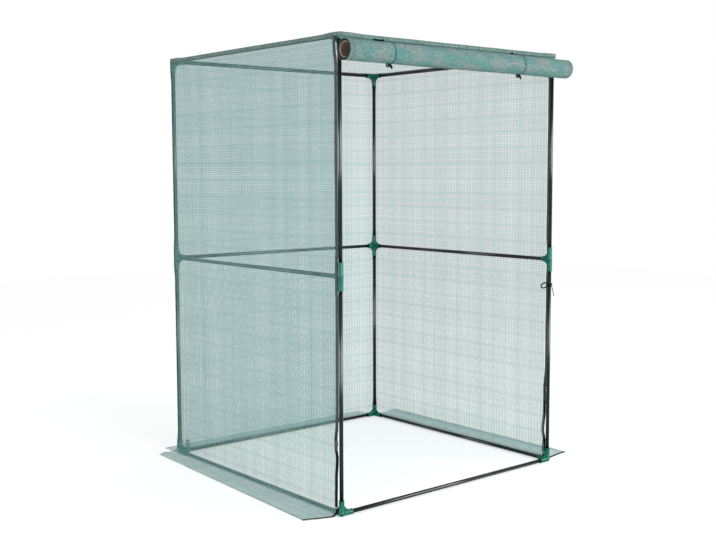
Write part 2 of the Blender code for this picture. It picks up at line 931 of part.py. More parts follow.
def roll_tie_path(x):
    """From the header's knot over the front of the roll, under it, and up behind it."""
    start = knot_centre(x)
    away = start.yz - Vector((roll_y, roll_height))
    lead = math.atan2(away.y, away.x) + math.acos(tie_circle_radius / away.length)
    points = [start]
    steps = math.ceil((2 * math.pi - lead) / (2 * math.pi * tie_arc_step_share))
    for number in range(steps + 1):
        angle = lead + (2 * math.pi - lead) * number / steps
        y, z = spiral_point(angle, tie_circle_radius)
        points.append(Vector((x, roll_y + y, roll_height + z)))
    points.append(Vector((x, roll_y + tie_circle_radius, header_bottom - seat_gap)))
    return points


def build_roll_tie(name, x):
    """A cord round the roll, with a knot at the header and a bow under the roll."""
    wrap = cord_mesh(name, roll_tie_path(x), tie_radius)
    root = Vector((x, roll_y, roll_height - tie_circle_radius - tie_knot_radius / 2))
    steps = [
        ("UNION", knot_mesh(f"{name}_top_knot", knot_centre(x), tie_knot_radius)),
        ("UNION", knot_mesh(f"{name}_low_knot", root, tie_knot_radius)),
    ]
    for sign in (-1, 1):
        droop = Vector((sign, 0, -bow_droop_share)).normalized()
        loop = bow_loop(root, droop, (0, 0, 1), bow_loop_length, bow_loop_height)
        steps.append(("UNION", cord_mesh(f"{name}_loop_{sign}", loop, tie_radius, True)))
        fall = Vector((sign * tail_spread_share, 0, -1)).normalized()
        tail = [root, root + fall * (bow_tail_length / 2)]
        tail.append(tail[-1] + Vector((0, 0, -bow_tail_length / 2)))
        steps.append(("UNION", cord_mesh(f"{name}_tail_{sign}", tail, tie_radius)))
    data = combine(name, wrap, steps)
    shade_round(data)
    add_object(name, data, "tie_cord")


def build_post_tie():
    """A cord knotted round the front right post, with a bow loop and a loose tail."""
    post = Vector((right_x, front_y, mid_height - post_tie_drop))
    ring_radius = tube_radius + seat_gap + post_tie_radius
    ring = []
    for number in range(tube_sides):
        angle = 2 * math.pi * number / tube_sides
        ring.append(post + Vector((*spiral_point(angle, ring_radius), 0)))
    band = cord_mesh("post_tie", ring, post_tie_radius, True)
    side = Vector((-1, -post_bow_forward_share, 0)).normalized()
    knot_place = post + side * (tube_radius + seat_gap + tie_knot_radius)
    loop = bow_loop(knot_place, side, (0, 0, 1), post_bow_length, post_bow_height)
    begin = post + Vector((ring_radius, 0, 0))
    tail = [begin + Vector(share) * post_tail_length for share in post_tail_shares]
    steps = [
        ("UNION", knot_mesh("post_tie_knot", knot_place, tie_knot_radius)),
        ("UNION", cord_mesh("post_tie_loop", loop, post_tie_radius, True)),
        ("UNION", cord_mesh("post_tie_tail", tail, post_tie_radius)),
    ]
    data = combine("post_tie", band, steps)
    shade_round(data)
    add_object("post_tie", data, "tie_cord")


def build_corner_loops():
    """Cords that hold the cover down at the front right and back left corners."""
    arm_top = bottom_height + arm_radius + seat_gap
    clear = arm_radius + seat_gap + corner_loop_radius
    rise = corner_loop_top - arm_top
    front_path = []
    for out, up in corner_loop_shares:
        x = right_x - clear - out * corner_loop_bulge
        front_path.append(Vector((x, front_y, arm_top + up * rise)))
    rise = back_loop_top - arm_top - corner_loop_radius
    back_path = []
    for out, up in back_loop_shares:
        x = left_x + back_loop_place + out * corner_loop_bulge
        back_path.append(Vector((x, back_y, arm_top + up * rise)))
    for name, path in (("front_right", front_path), ("back_left", back_path)):
        data = cord_mesh(f"corner_loop_{name}", path, corner_loop_radius)
        shade_round(data)
        add_object(f"corner_loop_{name}", data, "tie_cord")


def build_ties():
    build_roll_tie("door_tie_left", centre_x + tie_left_share * frame_width)
    build_roll_tie("door_tie_right", centre_x + tie_right_share * frame_width)
    build_post_tie()
    build_corner_loops()


build_tubes()
build_connectors()
build_nets()
build_bindings()
build_flaps()
build_zips()
build_door()
build_ties()
bpy.context.view_layer.update()
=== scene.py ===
# %% [markdown]
# # A fruit cage under a fine net
#
# A walk-up garden cage stands on a frame of steel tubes. Plastic connectors join the tubes,
# and a net cover is pulled over them. The door is rolled up and tied under the header.
# This notebook dresses the bare working model of the cage, one kind of piece at a time.

import math

import bmesh
import bpy
from mathutils import Matrix, Vector, noise


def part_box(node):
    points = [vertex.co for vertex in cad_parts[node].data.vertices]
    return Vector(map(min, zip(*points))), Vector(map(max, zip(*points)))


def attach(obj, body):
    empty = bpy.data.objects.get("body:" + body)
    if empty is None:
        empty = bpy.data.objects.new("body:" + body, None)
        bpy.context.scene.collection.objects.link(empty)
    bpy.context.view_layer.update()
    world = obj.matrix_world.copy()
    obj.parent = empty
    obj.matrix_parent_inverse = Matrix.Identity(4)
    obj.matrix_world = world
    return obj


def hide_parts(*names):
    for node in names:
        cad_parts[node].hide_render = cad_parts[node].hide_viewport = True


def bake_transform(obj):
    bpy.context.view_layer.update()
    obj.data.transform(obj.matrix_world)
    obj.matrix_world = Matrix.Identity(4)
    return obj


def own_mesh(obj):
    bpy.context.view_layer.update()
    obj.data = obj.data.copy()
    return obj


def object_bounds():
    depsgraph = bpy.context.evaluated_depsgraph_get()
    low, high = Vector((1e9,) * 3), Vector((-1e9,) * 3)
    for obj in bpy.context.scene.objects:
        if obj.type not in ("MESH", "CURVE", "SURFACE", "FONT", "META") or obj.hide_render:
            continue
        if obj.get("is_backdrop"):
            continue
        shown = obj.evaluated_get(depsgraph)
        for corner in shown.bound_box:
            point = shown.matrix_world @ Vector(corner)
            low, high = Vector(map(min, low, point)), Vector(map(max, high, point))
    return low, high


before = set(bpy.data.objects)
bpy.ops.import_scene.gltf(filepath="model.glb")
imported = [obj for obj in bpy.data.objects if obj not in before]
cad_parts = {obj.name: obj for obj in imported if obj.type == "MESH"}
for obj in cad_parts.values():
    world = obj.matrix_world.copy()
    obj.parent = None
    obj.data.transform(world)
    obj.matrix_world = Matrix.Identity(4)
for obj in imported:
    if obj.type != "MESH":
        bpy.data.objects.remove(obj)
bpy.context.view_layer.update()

# %% [markdown]
# ## Where things are
#
# The model already knows where each tube runs, so the places are read from it and not typed
# in again. The middle of a post's box is on the post's axis, and the box of a net panel
# gives its edges.

# %% Read the main places
tube_radius = 0.008
tube_wall = 0.0008


def box_of(node_name):
    """The lowest and the highest corner of a node of the working model."""
    low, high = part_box(node_name)
    return Vector(low), Vector(high)


def middle(node_name):
    low, high = box_of(node_name)
    return (low + high) / 2


front_left_axis = middle("lower_post_front_left")
back_right_axis = middle("lower_post_back_right")
left_x, front_y = front_left_axis.x, front_left_axis.y
right_x, back_y = back_right_axis.x, back_right_axis.y
bottom_height = middle("bottom_rail_left").z
mid_height = middle("mid_rail_left").z
top_height = middle("top_rail_left").z
roll_axis = middle("roll_core")
frame_size = (right_x - left_x, back_y - front_y, top_height - bottom_height)
print("frame {:.3f} by {:.3f} by {:.3f} m".format(*frame_size))

# %% [markdown]
# ## Camera
#
# The picture looks at the cage from the front left, a little below its roof. A long lens
# from nearly 5 m away keeps the posts upright. The camera looks level apart from a few
# degrees, so no shift is needed.

# %% Make the camera
camera_azimuth = math.radians(-39.84)
camera_elevation = math.radians(5.271)
camera_roll = math.radians(-0.20)
camera_distance = 4.924
camera_target = Vector((0.033, 0.0655, 0.859))
camera_lens = 53.4

camera_back = Vector(
    (
        math.sin(camera_azimuth) * math.cos(camera_elevation),
        -math.cos(camera_azimuth) * math.cos(camera_elevation),
        math.sin(camera_elevation),
    )
)
camera_data = bpy.data.cameras.new("camera")
camera_data.lens = camera_lens
camera_data.sensor_width = 36.0
camera = bpy.data.objects.new("camera", camera_data)
bpy.context.collection.objects.link(camera)
camera.location = camera_target + camera_back * camera_distance
camera_turn = (-camera_back).to_track_quat("-Z", "Y").to_matrix()
camera.rotation_euler = (camera_turn @ Matrix.Rotation(camera_roll, 3, "Z")).to_euler()
bpy.context.scene.camera = camera

# %% [markdown]
# ## Light and floor
#
# A white room lights the cage evenly, and two softboxes in front add soft shading. Two large
# bright panels, at the front right and at the left, are seen only in gloss. They give the
# dark tubes their long thin highlights and don't light the cloth. The floor is pale. The
# camera and reflections see a little light added to it, which makes it plain white in the
# open and keeps a light shadow.

# %% Light the cage
scene = bpy.context.scene
scene.view_settings.view_transform = "Standard"
room_light_strength = 0.62
floor_lift = 0.42


def add_node(tree, kind, **settings):
    item = tree.nodes.new(kind)
    for key, value in settings.items():
        setattr(item, key, value)
    return item


def feed(tree, socket, value):
    """Link a socket to another one, or set its own value."""
    if isinstance(value, bpy.types.NodeSocket):
        tree.links.new(value, socket)
    else:
        socket.default_value = value


def work_out(tree, operation, *values, clamp=False):
    """A Math node with its inputs filled in, and its result."""
    item = add_node(tree, "ShaderNodeMath", operation=operation, use_clamp=clamp)
    for socket, value in zip(item.inputs, values):
        feed(tree, socket, value)
    return item.outputs[0]


def seen_directly(tree):
    """1 for rays that show the room itself: from the camera, in gloss or through glass."""
    path = add_node(tree, "ShaderNodeLightPath")
    shown = work_out(
        tree, "ADD", path.outputs["Is Camera Ray"], path.outputs["Is Glossy Ray"], clamp=True
    )
    return work_out(tree, "ADD", shown, path.outputs["Is Transmission Ray"], clamp=True)


world = bpy.data.worlds.new("white room")
world.use_nodes = True
scene.world = world
tree = world.node_tree
background = tree.nodes["Background"]
background.inputs["Color"].default_value = (1.0, 1.0, 1.0, 1.0)
extra = 1.0 - room_light_strength
strength = work_out(tree, "MULTIPLY_ADD", seen_directly(tree), extra, room_light_strength)
tree.links.new(strength, background.inputs["Strength"])

# Name, place, width and height, brightness, and whether it lights more than gloss.
lamps = (
    ("front softbox", (-0.9, -5.4, 2.5), (1.8, 2.2), 7.0, True),
    ("right softbox", (3.6, -4.1, 2.3), (1.2, 2.0), 8.0, True),
    ("right gloss panel", (1.2, -5.5, 2.4), (8.4, 5.0), 17.0, False),
    ("left gloss panel", (-5.4, 1.2, 1.8), (3.4, 3.6), 26.0, False),
)
for name, place, size, brightness, gives_light in lamps:
    light_data = bpy.data.lights.new(name, "AREA")
    light_data.shape = "RECTANGLE"
    light_data.size, light_data.size_y = size
    light_data.energy = brightness * math.pi * size[0] * size[1]
    light = bpy.data.objects.new(name, light_data)
    bpy.context.collection.objects.link(light)
    light.visible_camera = False
    light.visible_diffuse = gives_light
    light.location = place
    aim = Vector((0.0, 0.0, place[2])) - light.location
    light.rotation_euler = aim.to_track_quat("-Z", "Y").to_euler()
print("lamps:", len(lamps))

# %% Pale floor
floor_half = 9.0
floor_shape = bmesh.new()
bmesh.ops.create_grid(floor_shape, x_segments=1, y_segments=1, size=floor_half)
floor_mesh = bpy.data.meshes.new("floor")
floor_shape.to_mesh(floor_mesh)
floor_shape.free()
floor = bpy.data.objects.new("floor", floor_mesh)
bpy.context.collection.objects.link(floor)
floor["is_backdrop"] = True
floor_material = bpy.data.materials.new("pale floor")
floor_material.use_nodes = True
tree = floor_material.node_tree
floor_paint = tree.nodes["Principled BSDF"]
floor_paint.inputs["Base Color"].default_value = (0.90, 0.90, 0.90, 1.0)
floor_paint.inputs["Roughness"].default_value = 0.9
floor_paint.inputs["Specular IOR Level"].default_value = 0.0
glow = add_node(tree, "ShaderNodeEmission")
tree.links.new(work_out(tree, "MULTIPLY", seen_directly(tree), floor_lift), glow.inputs["Strength"])
both = add_node(tree, "ShaderNodeAddShader")
tree.links.new(floor_paint.outputs[0], both.inputs[0])
tree.links.new(glow.outputs[0], both.inputs[1])
tree.links.new(both.outputs[0], tree.nodes["Material Output"].inputs["Surface"])
floor_mesh.materials.append(floor_material)

# %% [markdown]
# ## Helpers for pieces
#
# Each finished piece gets its material and the body that it moves with. Cloth starts as a
# flat grid of one metre, which a function then bends into place.
# Its UV map is laid out in real metres, so one net material fits every panel.

# %% Helpers for pieces
sharp_edge = math.radians(35)


def make_piece(name, data, material, slot_name, body, nodes=()):
    """Link a mesh as a piece that rides on a body and stands for some nodes."""
    data.materials.clear()
    for entry in material if isinstance(material, tuple) else (material,):
        data.materials.append(entry)
    piece = bpy.data.objects.new(name, data)
    bpy.context.collection.objects.link(piece)
    if nodes:
        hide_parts(*nodes)
    if body:
        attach(piece, body)
    return piece


def mesh_of(name, shape, smooth=True, close=True):
    """Finish a bmesh as mesh data, with its normals outwards if it is closed."""
    if close:
        bmesh.ops.recalc_face_normals(shape, faces=shape.faces)
    data = bpy.data.meshes.new(name)
    shape.to_mesh(data)
    shape.free()
    if smooth:
        data.shade_smooth()
        data.set_sharp_from_angle(angle=sharp_edge)
    return data


def bent_grid(name, columns, rows, place, lay, outward=None):
    """A grid bent by place(across, up), with the UV map lay(across, up) in metres."""
    shape = bmesh.new()
    bmesh.ops.create_grid(shape, x_segments=columns, y_segments=rows, size=0.5)
    cloth = shape.loops.layers.uv.new("cloth")
    for face in shape.faces:
        for loop in face.loops:
            loop[cloth].uv = lay(loop.vert.co.x + 0.5, loop.vert.co.y + 0.5)
    for vert in shape.verts:
        vert.co = place(vert.co.x + 0.5, vert.co.y + 0.5)
    shape.normal_update()
    if outward is not None:
        facing = sum((face.normal * face.calc_area() for face in shape.faces), Vector())
        if facing.dot(Vector(outward)) < 0:
            bmesh.ops.reverse_faces(shape, faces=shape.faces)
    return mesh_of(name, shape, close=False)


def thicken(piece, thickness, offset=0.0):
    """Give an open sheet or shell its real thickness."""
    wall = piece.modifiers.new("wall", "SOLIDIFY")
    wall.thickness = thickness
    wall.offset = offset
    wall.use_even_offset = True


def round_edges(piece, width):
    """Bevel the sharp edges a little, as a mould or a press leaves them."""
    edge = piece.modifiers.new("edge", "BEVEL")
    edge.width = width
    edge.segments = 2
    edge.limit_method = "ANGLE"
    edge.angle_limit = sharp_edge


# %% [markdown]
# ## Net material
#
# The net is woven from flat green threads. The weave could be thousands of real strands,
# but a pattern that thins the sheet with its alpha looks the same and stays light. Its
# contrast is kept soft, because two sharp grids that overlap make false waves. Ping-pong
# curves give the distance to the nearest thread each way.

# %% Thread grid group
net_green = (0.362, 0.625, 0.600)
net_deep = (0.150, 0.380, 0.350)
fine_pitch = 0.00225
fine_width = 0.0009


def new_group(name, inputs, outputs):
    """An empty shader group with its sockets, and its two end nodes."""
    group = bpy.data.node_groups.new(name, "ShaderNodeTree")
    for label, kind, value in inputs:
        socket = group.interface.new_socket(name=label, in_out="INPUT", socket_type=kind)
        if value is not None:
            socket.default_value = value
    for label, kind in outputs:
        group.interface.new_socket(name=label, in_out="OUTPUT", socket_type=kind)
    start = group.nodes.new("NodeGroupInput")
    end = group.nodes.new("NodeGroupOutput")
    return group, start, end


def use_group(tree, group, **values):
    """Place a group in a material with its own values."""
    item = add_node(tree, "ShaderNodeGroup", node_tree=group)
    for label, value in values.items():
        feed(tree, item.inputs[label.replace("_", " ")], value)
    return item


def map_range(tree, value, from_min, from_max, to_min=0.0, to_max=1.0):
    item = add_node(tree, "ShaderNodeMapRange")
    for socket, number in zip(item.inputs, (value, from_min, from_max, to_min, to_max)):
        feed(tree, socket, number)
    return item.outputs["Result"]


def axes_of(tree, place):
    """The X, Y and Z of a place, by their names."""
    item = add_node(tree, "ShaderNodeSeparateXYZ")
    feed(tree, item.inputs[0], place)
    return item.outputs


thread_grid, start, end = new_group(
    "thread grid",
    (
        ("Place", "NodeSocketVector", None),
        ("Pitch Across", "NodeSocketFloat", fine_pitch),
        ("Pitch Along", "NodeSocketFloat", fine_pitch),
        ("Width", "NodeSocketFloat", fine_width),
    ),
    (("Threads", "NodeSocketFloat"), ("Height", "NodeSocketFloat")),
)
axes = axes_of(thread_grid, start.outputs["Place"])
half_thread = work_out(thread_grid, "MULTIPLY", start.outputs["Width"], 0.5)
away = []
for axis, pitch in (("X", "Pitch Across"), ("Y", "Pitch Along")):
    half_pitch = work_out(thread_grid, "MULTIPLY", start.outputs[pitch], 0.5)
    away.append(work_out(thread_grid, "PINGPONG", axes[axis], half_pitch))
nearest = work_out(thread_grid, "MINIMUM", *away)
share = work_out(thread_grid, "DIVIDE", nearest, half_thread)
feed(thread_grid, end.inputs["Threads"], map_range(thread_grid, share, 0.5, 1.5, 1.0, 0.0))
round_top = work_out(thread_grid, "MULTIPLY", share, share)
height = work_out(thread_grid, "SUBTRACT", 1.0, round_top, clamp=True)
feed(thread_grid, end.inputs["Height"], height)
print("net threads cover", round(fine_width / fine_pitch, 2), "of each pitch")

# %% [markdown]
# Every few threads are woven closer, along and across, and that makes the check which
# shows from a few steps away. Between every four of its rows the loom leaves an open line,
# every second band has one heavy row, and slow waves wander through it all. One group,
# shared by all the nets, adds this up to how much denser the net is at a place.

# %% Loom bands group
row_pitch = 4 * fine_pitch
column_pitch = 8 * fine_pitch
band_pitch = 4 * row_pitch
# Axis, pitch, width of a line, where the first one starts, and how much denser it is.
line_sets = (
    ("Y", row_pitch, 0.0045, 0.0, 0.20),
    ("X", column_pitch, 0.0080, 0.0, 0.15),
    ("Y", band_pitch, 0.0090, row_pitch / 2, -0.03),
    ("Y", 2 * band_pitch, 0.0060, row_pitch / 2 + band_pitch / 2, 0.08),
    ("X", 0.0790, 0.0140, 0.0, 0.05),
)
# Axis, length of the wave, and how much denser its crest is.
slow_waves = (("X", 0.127, 0.016), ("X", 0.301, 0.012), ("Y", 0.183, 0.014))
loom_bands, start, end = new_group(
    "loom bands",
    (("Place", "NodeSocketVector", None),),
    (("Bands", "NodeSocketFloat"),),
)
axes = axes_of(loom_bands, start.outputs["Place"])


def line_mask(tree, value, pitch, width, start_at):
    """1 on soft lines that repeat at a pitch, 0 between them."""
    away = work_out(tree, "PINGPONG", work_out(tree, "SUBTRACT", value, start_at), pitch / 2)
    return map_range(tree, away, width * 0.2, width * 0.8, 1.0, 0.0)


total = 0.0
for axis, pitch, width, start_at, weight in line_sets:
    lines = line_mask(loom_bands, axes[axis], pitch, width, start_at)
    total = work_out(loom_bands, "MULTIPLY_ADD", lines, weight, total)
for axis, length, weight in slow_waves:
    turn = work_out(loom_bands, "MULTIPLY", axes[axis], 2 * math.pi / length)
    total = work_out(loom_bands, "MULTIPLY_ADD", work_out(loom_bands, "SINE", turn), weight, total)
loom_bands.links.new(total, end.inputs["Bands"])
print(f"rows every {row_pitch * 1000:.1f} mm, columns every {column_pitch * 1000:.1f} mm")

# %% [markdown]
# Every material starts as a plain shader. Small helpers then mix colours, add noise and
# bump, and feed the results to it. A value that is the same all over is set on the shader
# itself, because it would be lost on the way to another program.

# %% Helpers for materials


def plain_material(name, color, roughness, metallic=0.0):
    material = bpy.data.materials.new(name)
    material.use_nodes = True
    shader = material.node_tree.nodes["Principled BSDF"]
    shader.inputs["Base Color"].default_value = (*color, 1.0)
    shader.inputs["Roughness"].default_value = roughness
    shader.inputs["Metallic"].default_value = metallic
    material.diffuse_color = (*color, 1.0)
    return material, material.node_tree, shader


def mix_color(tree, factor, first, second):
    item = add_node(tree, "ShaderNodeMix", data_type="RGBA")
    feed(tree, item.inputs[0], factor)
    for number, color in ((6, first), (7, second)):
        feed(tree, item.inputs[number], (*color, 1.0) if isinstance(color, tuple) else color)
    return item.outputs[2]


def bump(tree, shader, height, distance, strength=1.0):
    item = add_node(tree, "ShaderNodeBump")
    for label, value in (("Strength", strength), ("Distance", distance), ("Height", height)):
        feed(tree, item.inputs[label], value)
    tree.links.new(item.outputs["Normal"], shader.inputs["Normal"])


def noise_of(tree, place, scale, detail=3.0, roughness=0.5):
    item = add_node(tree, "ShaderNodeTexNoise")
    inputs = {"Vector": place, "Scale": scale, "Detail": detail, "Roughness": roughness}
    for label, value in inputs.items():
        feed(tree, item.inputs[label], value)
    return item.outputs["Fac"]


def room_place(tree):
    """Where a point is in the room, in metres."""
    return add_node(tree, "ShaderNodeTexCoord").outputs["Object"]


def cloth_place(tree, flat=False):
    """Where a point is on the cloth, in metres: its UV, or its place across and up."""
    if not flat:
        return add_node(tree, "ShaderNodeTexCoord").outputs["UV"]
    axes = axes_of(tree, room_place(tree))
    join = add_node(tree, "ShaderNodeCombineXYZ")
    tree.links.new(axes["X"], join.inputs["X"])
    tree.links.new(axes["Z"], join.inputs["Y"])
    return join.outputs[0]


def finish_shader(tree, shader, specular, color=None, roughness=None):
    """Feed a shader the colour and roughness that change over it, and set its gloss."""
    if color is not None:
        tree.links.new(color, shader.inputs["Base Color"])
    if roughness is not None:
        tree.links.new(roughness, shader.inputs["Roughness"])
    shader.inputs["Specular IOR Level"].default_value = specular


def woven(tree, place, pitch, width):
    """The thread grid of a cloth that is woven alike both ways: its threads and height."""
    sizes = {"Pitch_Across": pitch, "Pitch_Along": pitch, "Width": width}
    return use_group(tree, thread_grid, Place=place, **sizes).outputs


# %% Net materials
def net_material(name, color, deep, between=0.23, thread=0.37, flat=False):
    """Woven net: its alpha and its colour come from the fine threads and the loom bands.

    Between and thread are the alpha between the threads and on them.
    """
    material, tree, shader = plain_material(name, color, 0.62)
    place = cloth_place(tree, flat)
    bands = use_group(tree, loom_bands, Place=place).outputs["Bands"]
    fine = woven(tree, place, fine_pitch, fine_width)
    dense = map_range(tree, fine["Threads"], 0.0, 1.0, between, thread)
    tree.links.new(work_out(tree, "ADD", dense, bands, clamp=True), shader.inputs["Alpha"])
    cloudy = map_range(tree, noise_of(tree, place, 9.0), 0.35, 0.65)
    patches = work_out(tree, "MULTIPLY", cloudy, 0.15)
    shade = work_out(tree, "MULTIPLY_ADD", bands, 0.9, patches, clamp=True)
    bump(tree, shader, fine["Height"], 0.0002)
    finish_shader(tree, shader, 0.0, mix_color(tree, shade, color, deep))
    return material


# The left flap's net is the cover net made darker and a little denser: painted shadow on it where
# it lies on the ground.
shadowed_flap_colors = ((0.335, 0.585, 0.560), (0.130, 0.350, 0.325))
cover_net = net_material("cover net", net_green, net_deep)
shadowed_flap_net = net_material("shadowed flap net", *shadowed_flap_colors, between=0.32, thread=0.50)
hem_net = net_material("hem net", (0.260, 0.480, 0.450), net_deep, between=0.50, thread=0.72)
door_net = net_material("door net", net_green, net_deep, flat=True)
print("net materials:", ", ".join(item.name for item in (cover_net, shadowed_flap_net, hem_net, door_net)))

# %% [markdown]
# ## Tubes
#
# The posts and rails are steel tubes with dark green gloss paint. Each one starts as a cone
# with equal ends and no caps, and Solidify gives it a wall. The paint has a faint ripple
# from its curing, so the highlight isn't quite straight.

# %% Tube paint
tube_paint, tree, shader = plain_material("tube paint", (0.002, 0.009, 0.008), 0.24)
spot = room_place(tree)
ripple = noise_of(tree, spot, 45.0, detail=2.0)
bump(tree, shader, ripple, 0.0002, strength=0.2)
worn = map_range(tree, noise_of(tree, spot, 14.0, detail=5.0), 0.3, 0.75, 0.20, 0.30)
tone = map_range(tree, noise_of(tree, spot, 5.0), 0.3, 0.7)
paint = mix_color(tree, tone, (0.001, 0.007, 0.006), (0.003, 0.012, 0.010))
finish_shader(tree, shader, 0.24, paint, worn)

# %% Tubes
tube_sides = 40


def tube_mesh(name, first, last):
    """An open round tube between two points, on its outer radius."""
    run = last - first
    turn = run.to_track_quat("Z", "Y").to_matrix().to_4x4()
    shape = bmesh.new()
    bmesh.ops.create_cone(
        shape,
        cap_ends=False,
        segments=tube_sides,
        radius1=tube_radius,
        radius2=tube_radius,
        depth=run.length,
        matrix=Matrix.Translation((first + last) / 2) @ turn,
    )
    data = mesh_of(name, shape, close=False)
    data.shade_smooth()
    return data


tube_nodes = [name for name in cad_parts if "_rail_" in name or "_post_" in name]
for node_name in tube_nodes:
    low, high = box_of(node_name)
    centre, size = (low + high) / 2, high - low
    longest = max(range(3), key=lambda axis: size[axis])
    reach = Vector((0, 0, 0))
    reach[longest] = size[longest] / 2
    data = tube_mesh(f"{node_name}_tube", centre - reach, centre + reach)
    piece = make_piece(f"{node_name}_tube", data, tube_paint, "tube_paint", "frame", (node_name,))
    thicken(piece, tube_wall, offset=-1)
print("tubes:", len(tube_nodes))

# %% [markdown]
# ## Connectors
#
# The connectors are moulded in green plastic: a ball with a socket for each tube and thin
# webs between the sockets. They are joined with Booleans from round rods, because a mould
# is cut the same way, and a small bevel rounds the edges as a mould does.

# %% Connector plastic
connector_plastic, tree, shader = plain_material("connector plastic", (0.004, 0.165, 0.118), 0.36)
spot = room_place(tree)
grain = noise_of(tree, spot, 900.0, detail=2.0)
bump(tree, shader, grain, 0.00006, strength=0.5)
flow = map_range(tree, noise_of(tree, spot, 55.0, detail=4.0), 0.3, 0.7)
plastic = mix_color(tree, flow, (0.002, 0.135, 0.095), (0.006, 0.195, 0.142))
finish_shader(tree, shader, 0.10, plastic, map_range(tree, grain, 0.3, 0.7, 0.30, 0.42))

# %% Connector shapes
hub_radius = 0.0118
arm_radius = 0.0106
socket_radius = 0.0083
socket_stop = 0.012
corner_reach = 0.050
mid_reach = 0.042
collar_half = 0.0535
collar_web = 0.006
rim_length = 0.0035
rim_extra = 0.0006
rim_over = rim_extra / 4
web_leg = 0.037
web_bow = 0.53
web_thickness = 0.004
web_root = 0.004
mould_round = 0.0005
dimple_radius = 0.0022
dimple_depth = 0.0012
dimple_place = 0.030
overrun = 0.002


def rod(direction, start_at, end_at, radius, offset=Vector((0, 0, 0))):
    """A closed rod along a direction, as mesh data."""
    direction = Vector(direction)
    turn = Vector((0, 0, 1)).rotation_difference(direction).to_matrix().to_4x4()
    shape = bmesh.new()
    bmesh.ops.create_cone(
        shape,
        cap_ends=True,
        segments=tube_sides,
        radius1=radius,
        radius2=radius,
        depth=end_at - start_at,
        matrix=Matrix.Translation(offset + direction * ((start_at + end_at) / 2)) @ turn,
    )
    return mesh_of("rod", shape, smooth=False)


def web(first, second):
    """A web with a hollow free edge between two arms, rooted inside both."""
    first, second = Vector(first), Vector(second)
    normal = first.cross(second)
    shape = bmesh.new()
    root = (first + second) * web_root
    bow = (first + second) * (web_leg * web_bow)
    outline = (root, root + first * web_leg, bow, root + second * web_leg)
    lift = normal * (web_thickness / 2)
    face = shape.faces.new([shape.verts.new(point - lift) for point in outline])
    grown = bmesh.ops.extrude_face_region(shape, geom=[face])
    top = [item for item in grown["geom"] if isinstance(item, bmesh.types.BMVert)]
    bmesh.ops.translate(shape, verts=top, vec=lift * 2)
    return mesh_of("web", shape, smooth=False)


def joined(name, base, steps):
    """Run Boolean steps on a base mesh and return the new mesh."""
    holder = bpy.data.objects.new(name, base)
    bpy.context.collection.objects.link(holder)
    tools = []
    for operation, data in steps:
        tool = bpy.data.objects.new("tool", data)
        bpy.context.collection.objects.link(tool)
        step = holder.modifiers.new("step", "BOOLEAN")
        step.operation = operation
        step.solver = "EXACT"
        step.object = tool
        tools.append(tool)
    bpy.context.view_layer.update()
    graph = bpy.context.evaluated_depsgraph_get()
    result = bpy.data.meshes.new_from_object(holder.evaluated_get(graph))
    for item in (holder, *tools):
        bpy.data.objects.remove(item, do_unlink=True)
    result.name = name
    return result


def connector(name, arms, collar=False, foot=False):
    """A hub with an arm and a socket for each tube, its webs, and perhaps a flat foot.

    A collar is the long sleeve in which the two halves of a post meet.
    """
    shape = bmesh.new()
    bmesh.ops.create_uvsphere(shape, u_segments=40, v_segments=24, radius=hub_radius)
    base = mesh_of(name, shape, smooth=False)
    reach = mid_reach if collar else corner_reach
    steps = []
    if collar:
        steps.append(("UNION", rod((0, 0, 1), -collar_half, collar_half, arm_radius)))
        for side in (-1, 1):
            ends = sorted((side * (collar_half - rim_length), side * (collar_half + rim_over)))
            steps.append(("UNION", rod((0, 0, 1), *ends, arm_radius + rim_extra)))
    for number, arm in enumerate(arms):
        # No two arms start at one depth, because a Boolean dislikes faces that coincide.
        root = -web_root * (number + 1) / len(arms)
        rim = (reach - rim_length, reach + rim_over, arm_radius + rim_extra)
        steps.append(("UNION", rod(arm, root, reach, arm_radius)))
        steps.append(("UNION", rod(arm, *rim)))
    if collar:
        pairs = [(arm, (0, 0, side)) for arm in arms for side in (-1, 1)]
    else:
        pairs = [(arms[0], arms[1]), (arms[1], arms[2]), (arms[2], arms[0])]
    steps += [("UNION", web(first, second)) for first, second in pairs]
    sockets = [(arm, socket_stop, reach + overrun) for arm in arms]
    if collar:
        sockets += [((0, 0, side), collar_web / 2, collar_half + overrun) for side in (-1, 1)]
    steps += [("DIFFERENCE", rod(*socket, socket_radius)) for socket in sockets]
    if foot:
        size = hub_radius * 4
        shape = bmesh.new()
        below = Matrix.Translation((0, 0, -bottom_height - size / 2))
        bmesh.ops.create_cube(shape, size=size, matrix=below)
        steps.append(("DIFFERENCE", mesh_of("ground", shape, smooth=False)))
        ends = (arm_radius - dimple_depth, arm_radius + overrun)
        for arm, outside in ((arms[0], (0, -1, 0)), (arms[1], (-1, 0, 0))):
            spot = Vector(arm) * dimple_place
            steps.append(("DIFFERENCE", rod(outside, *ends, dimple_radius, spot)))
    return joined(name, base, steps)


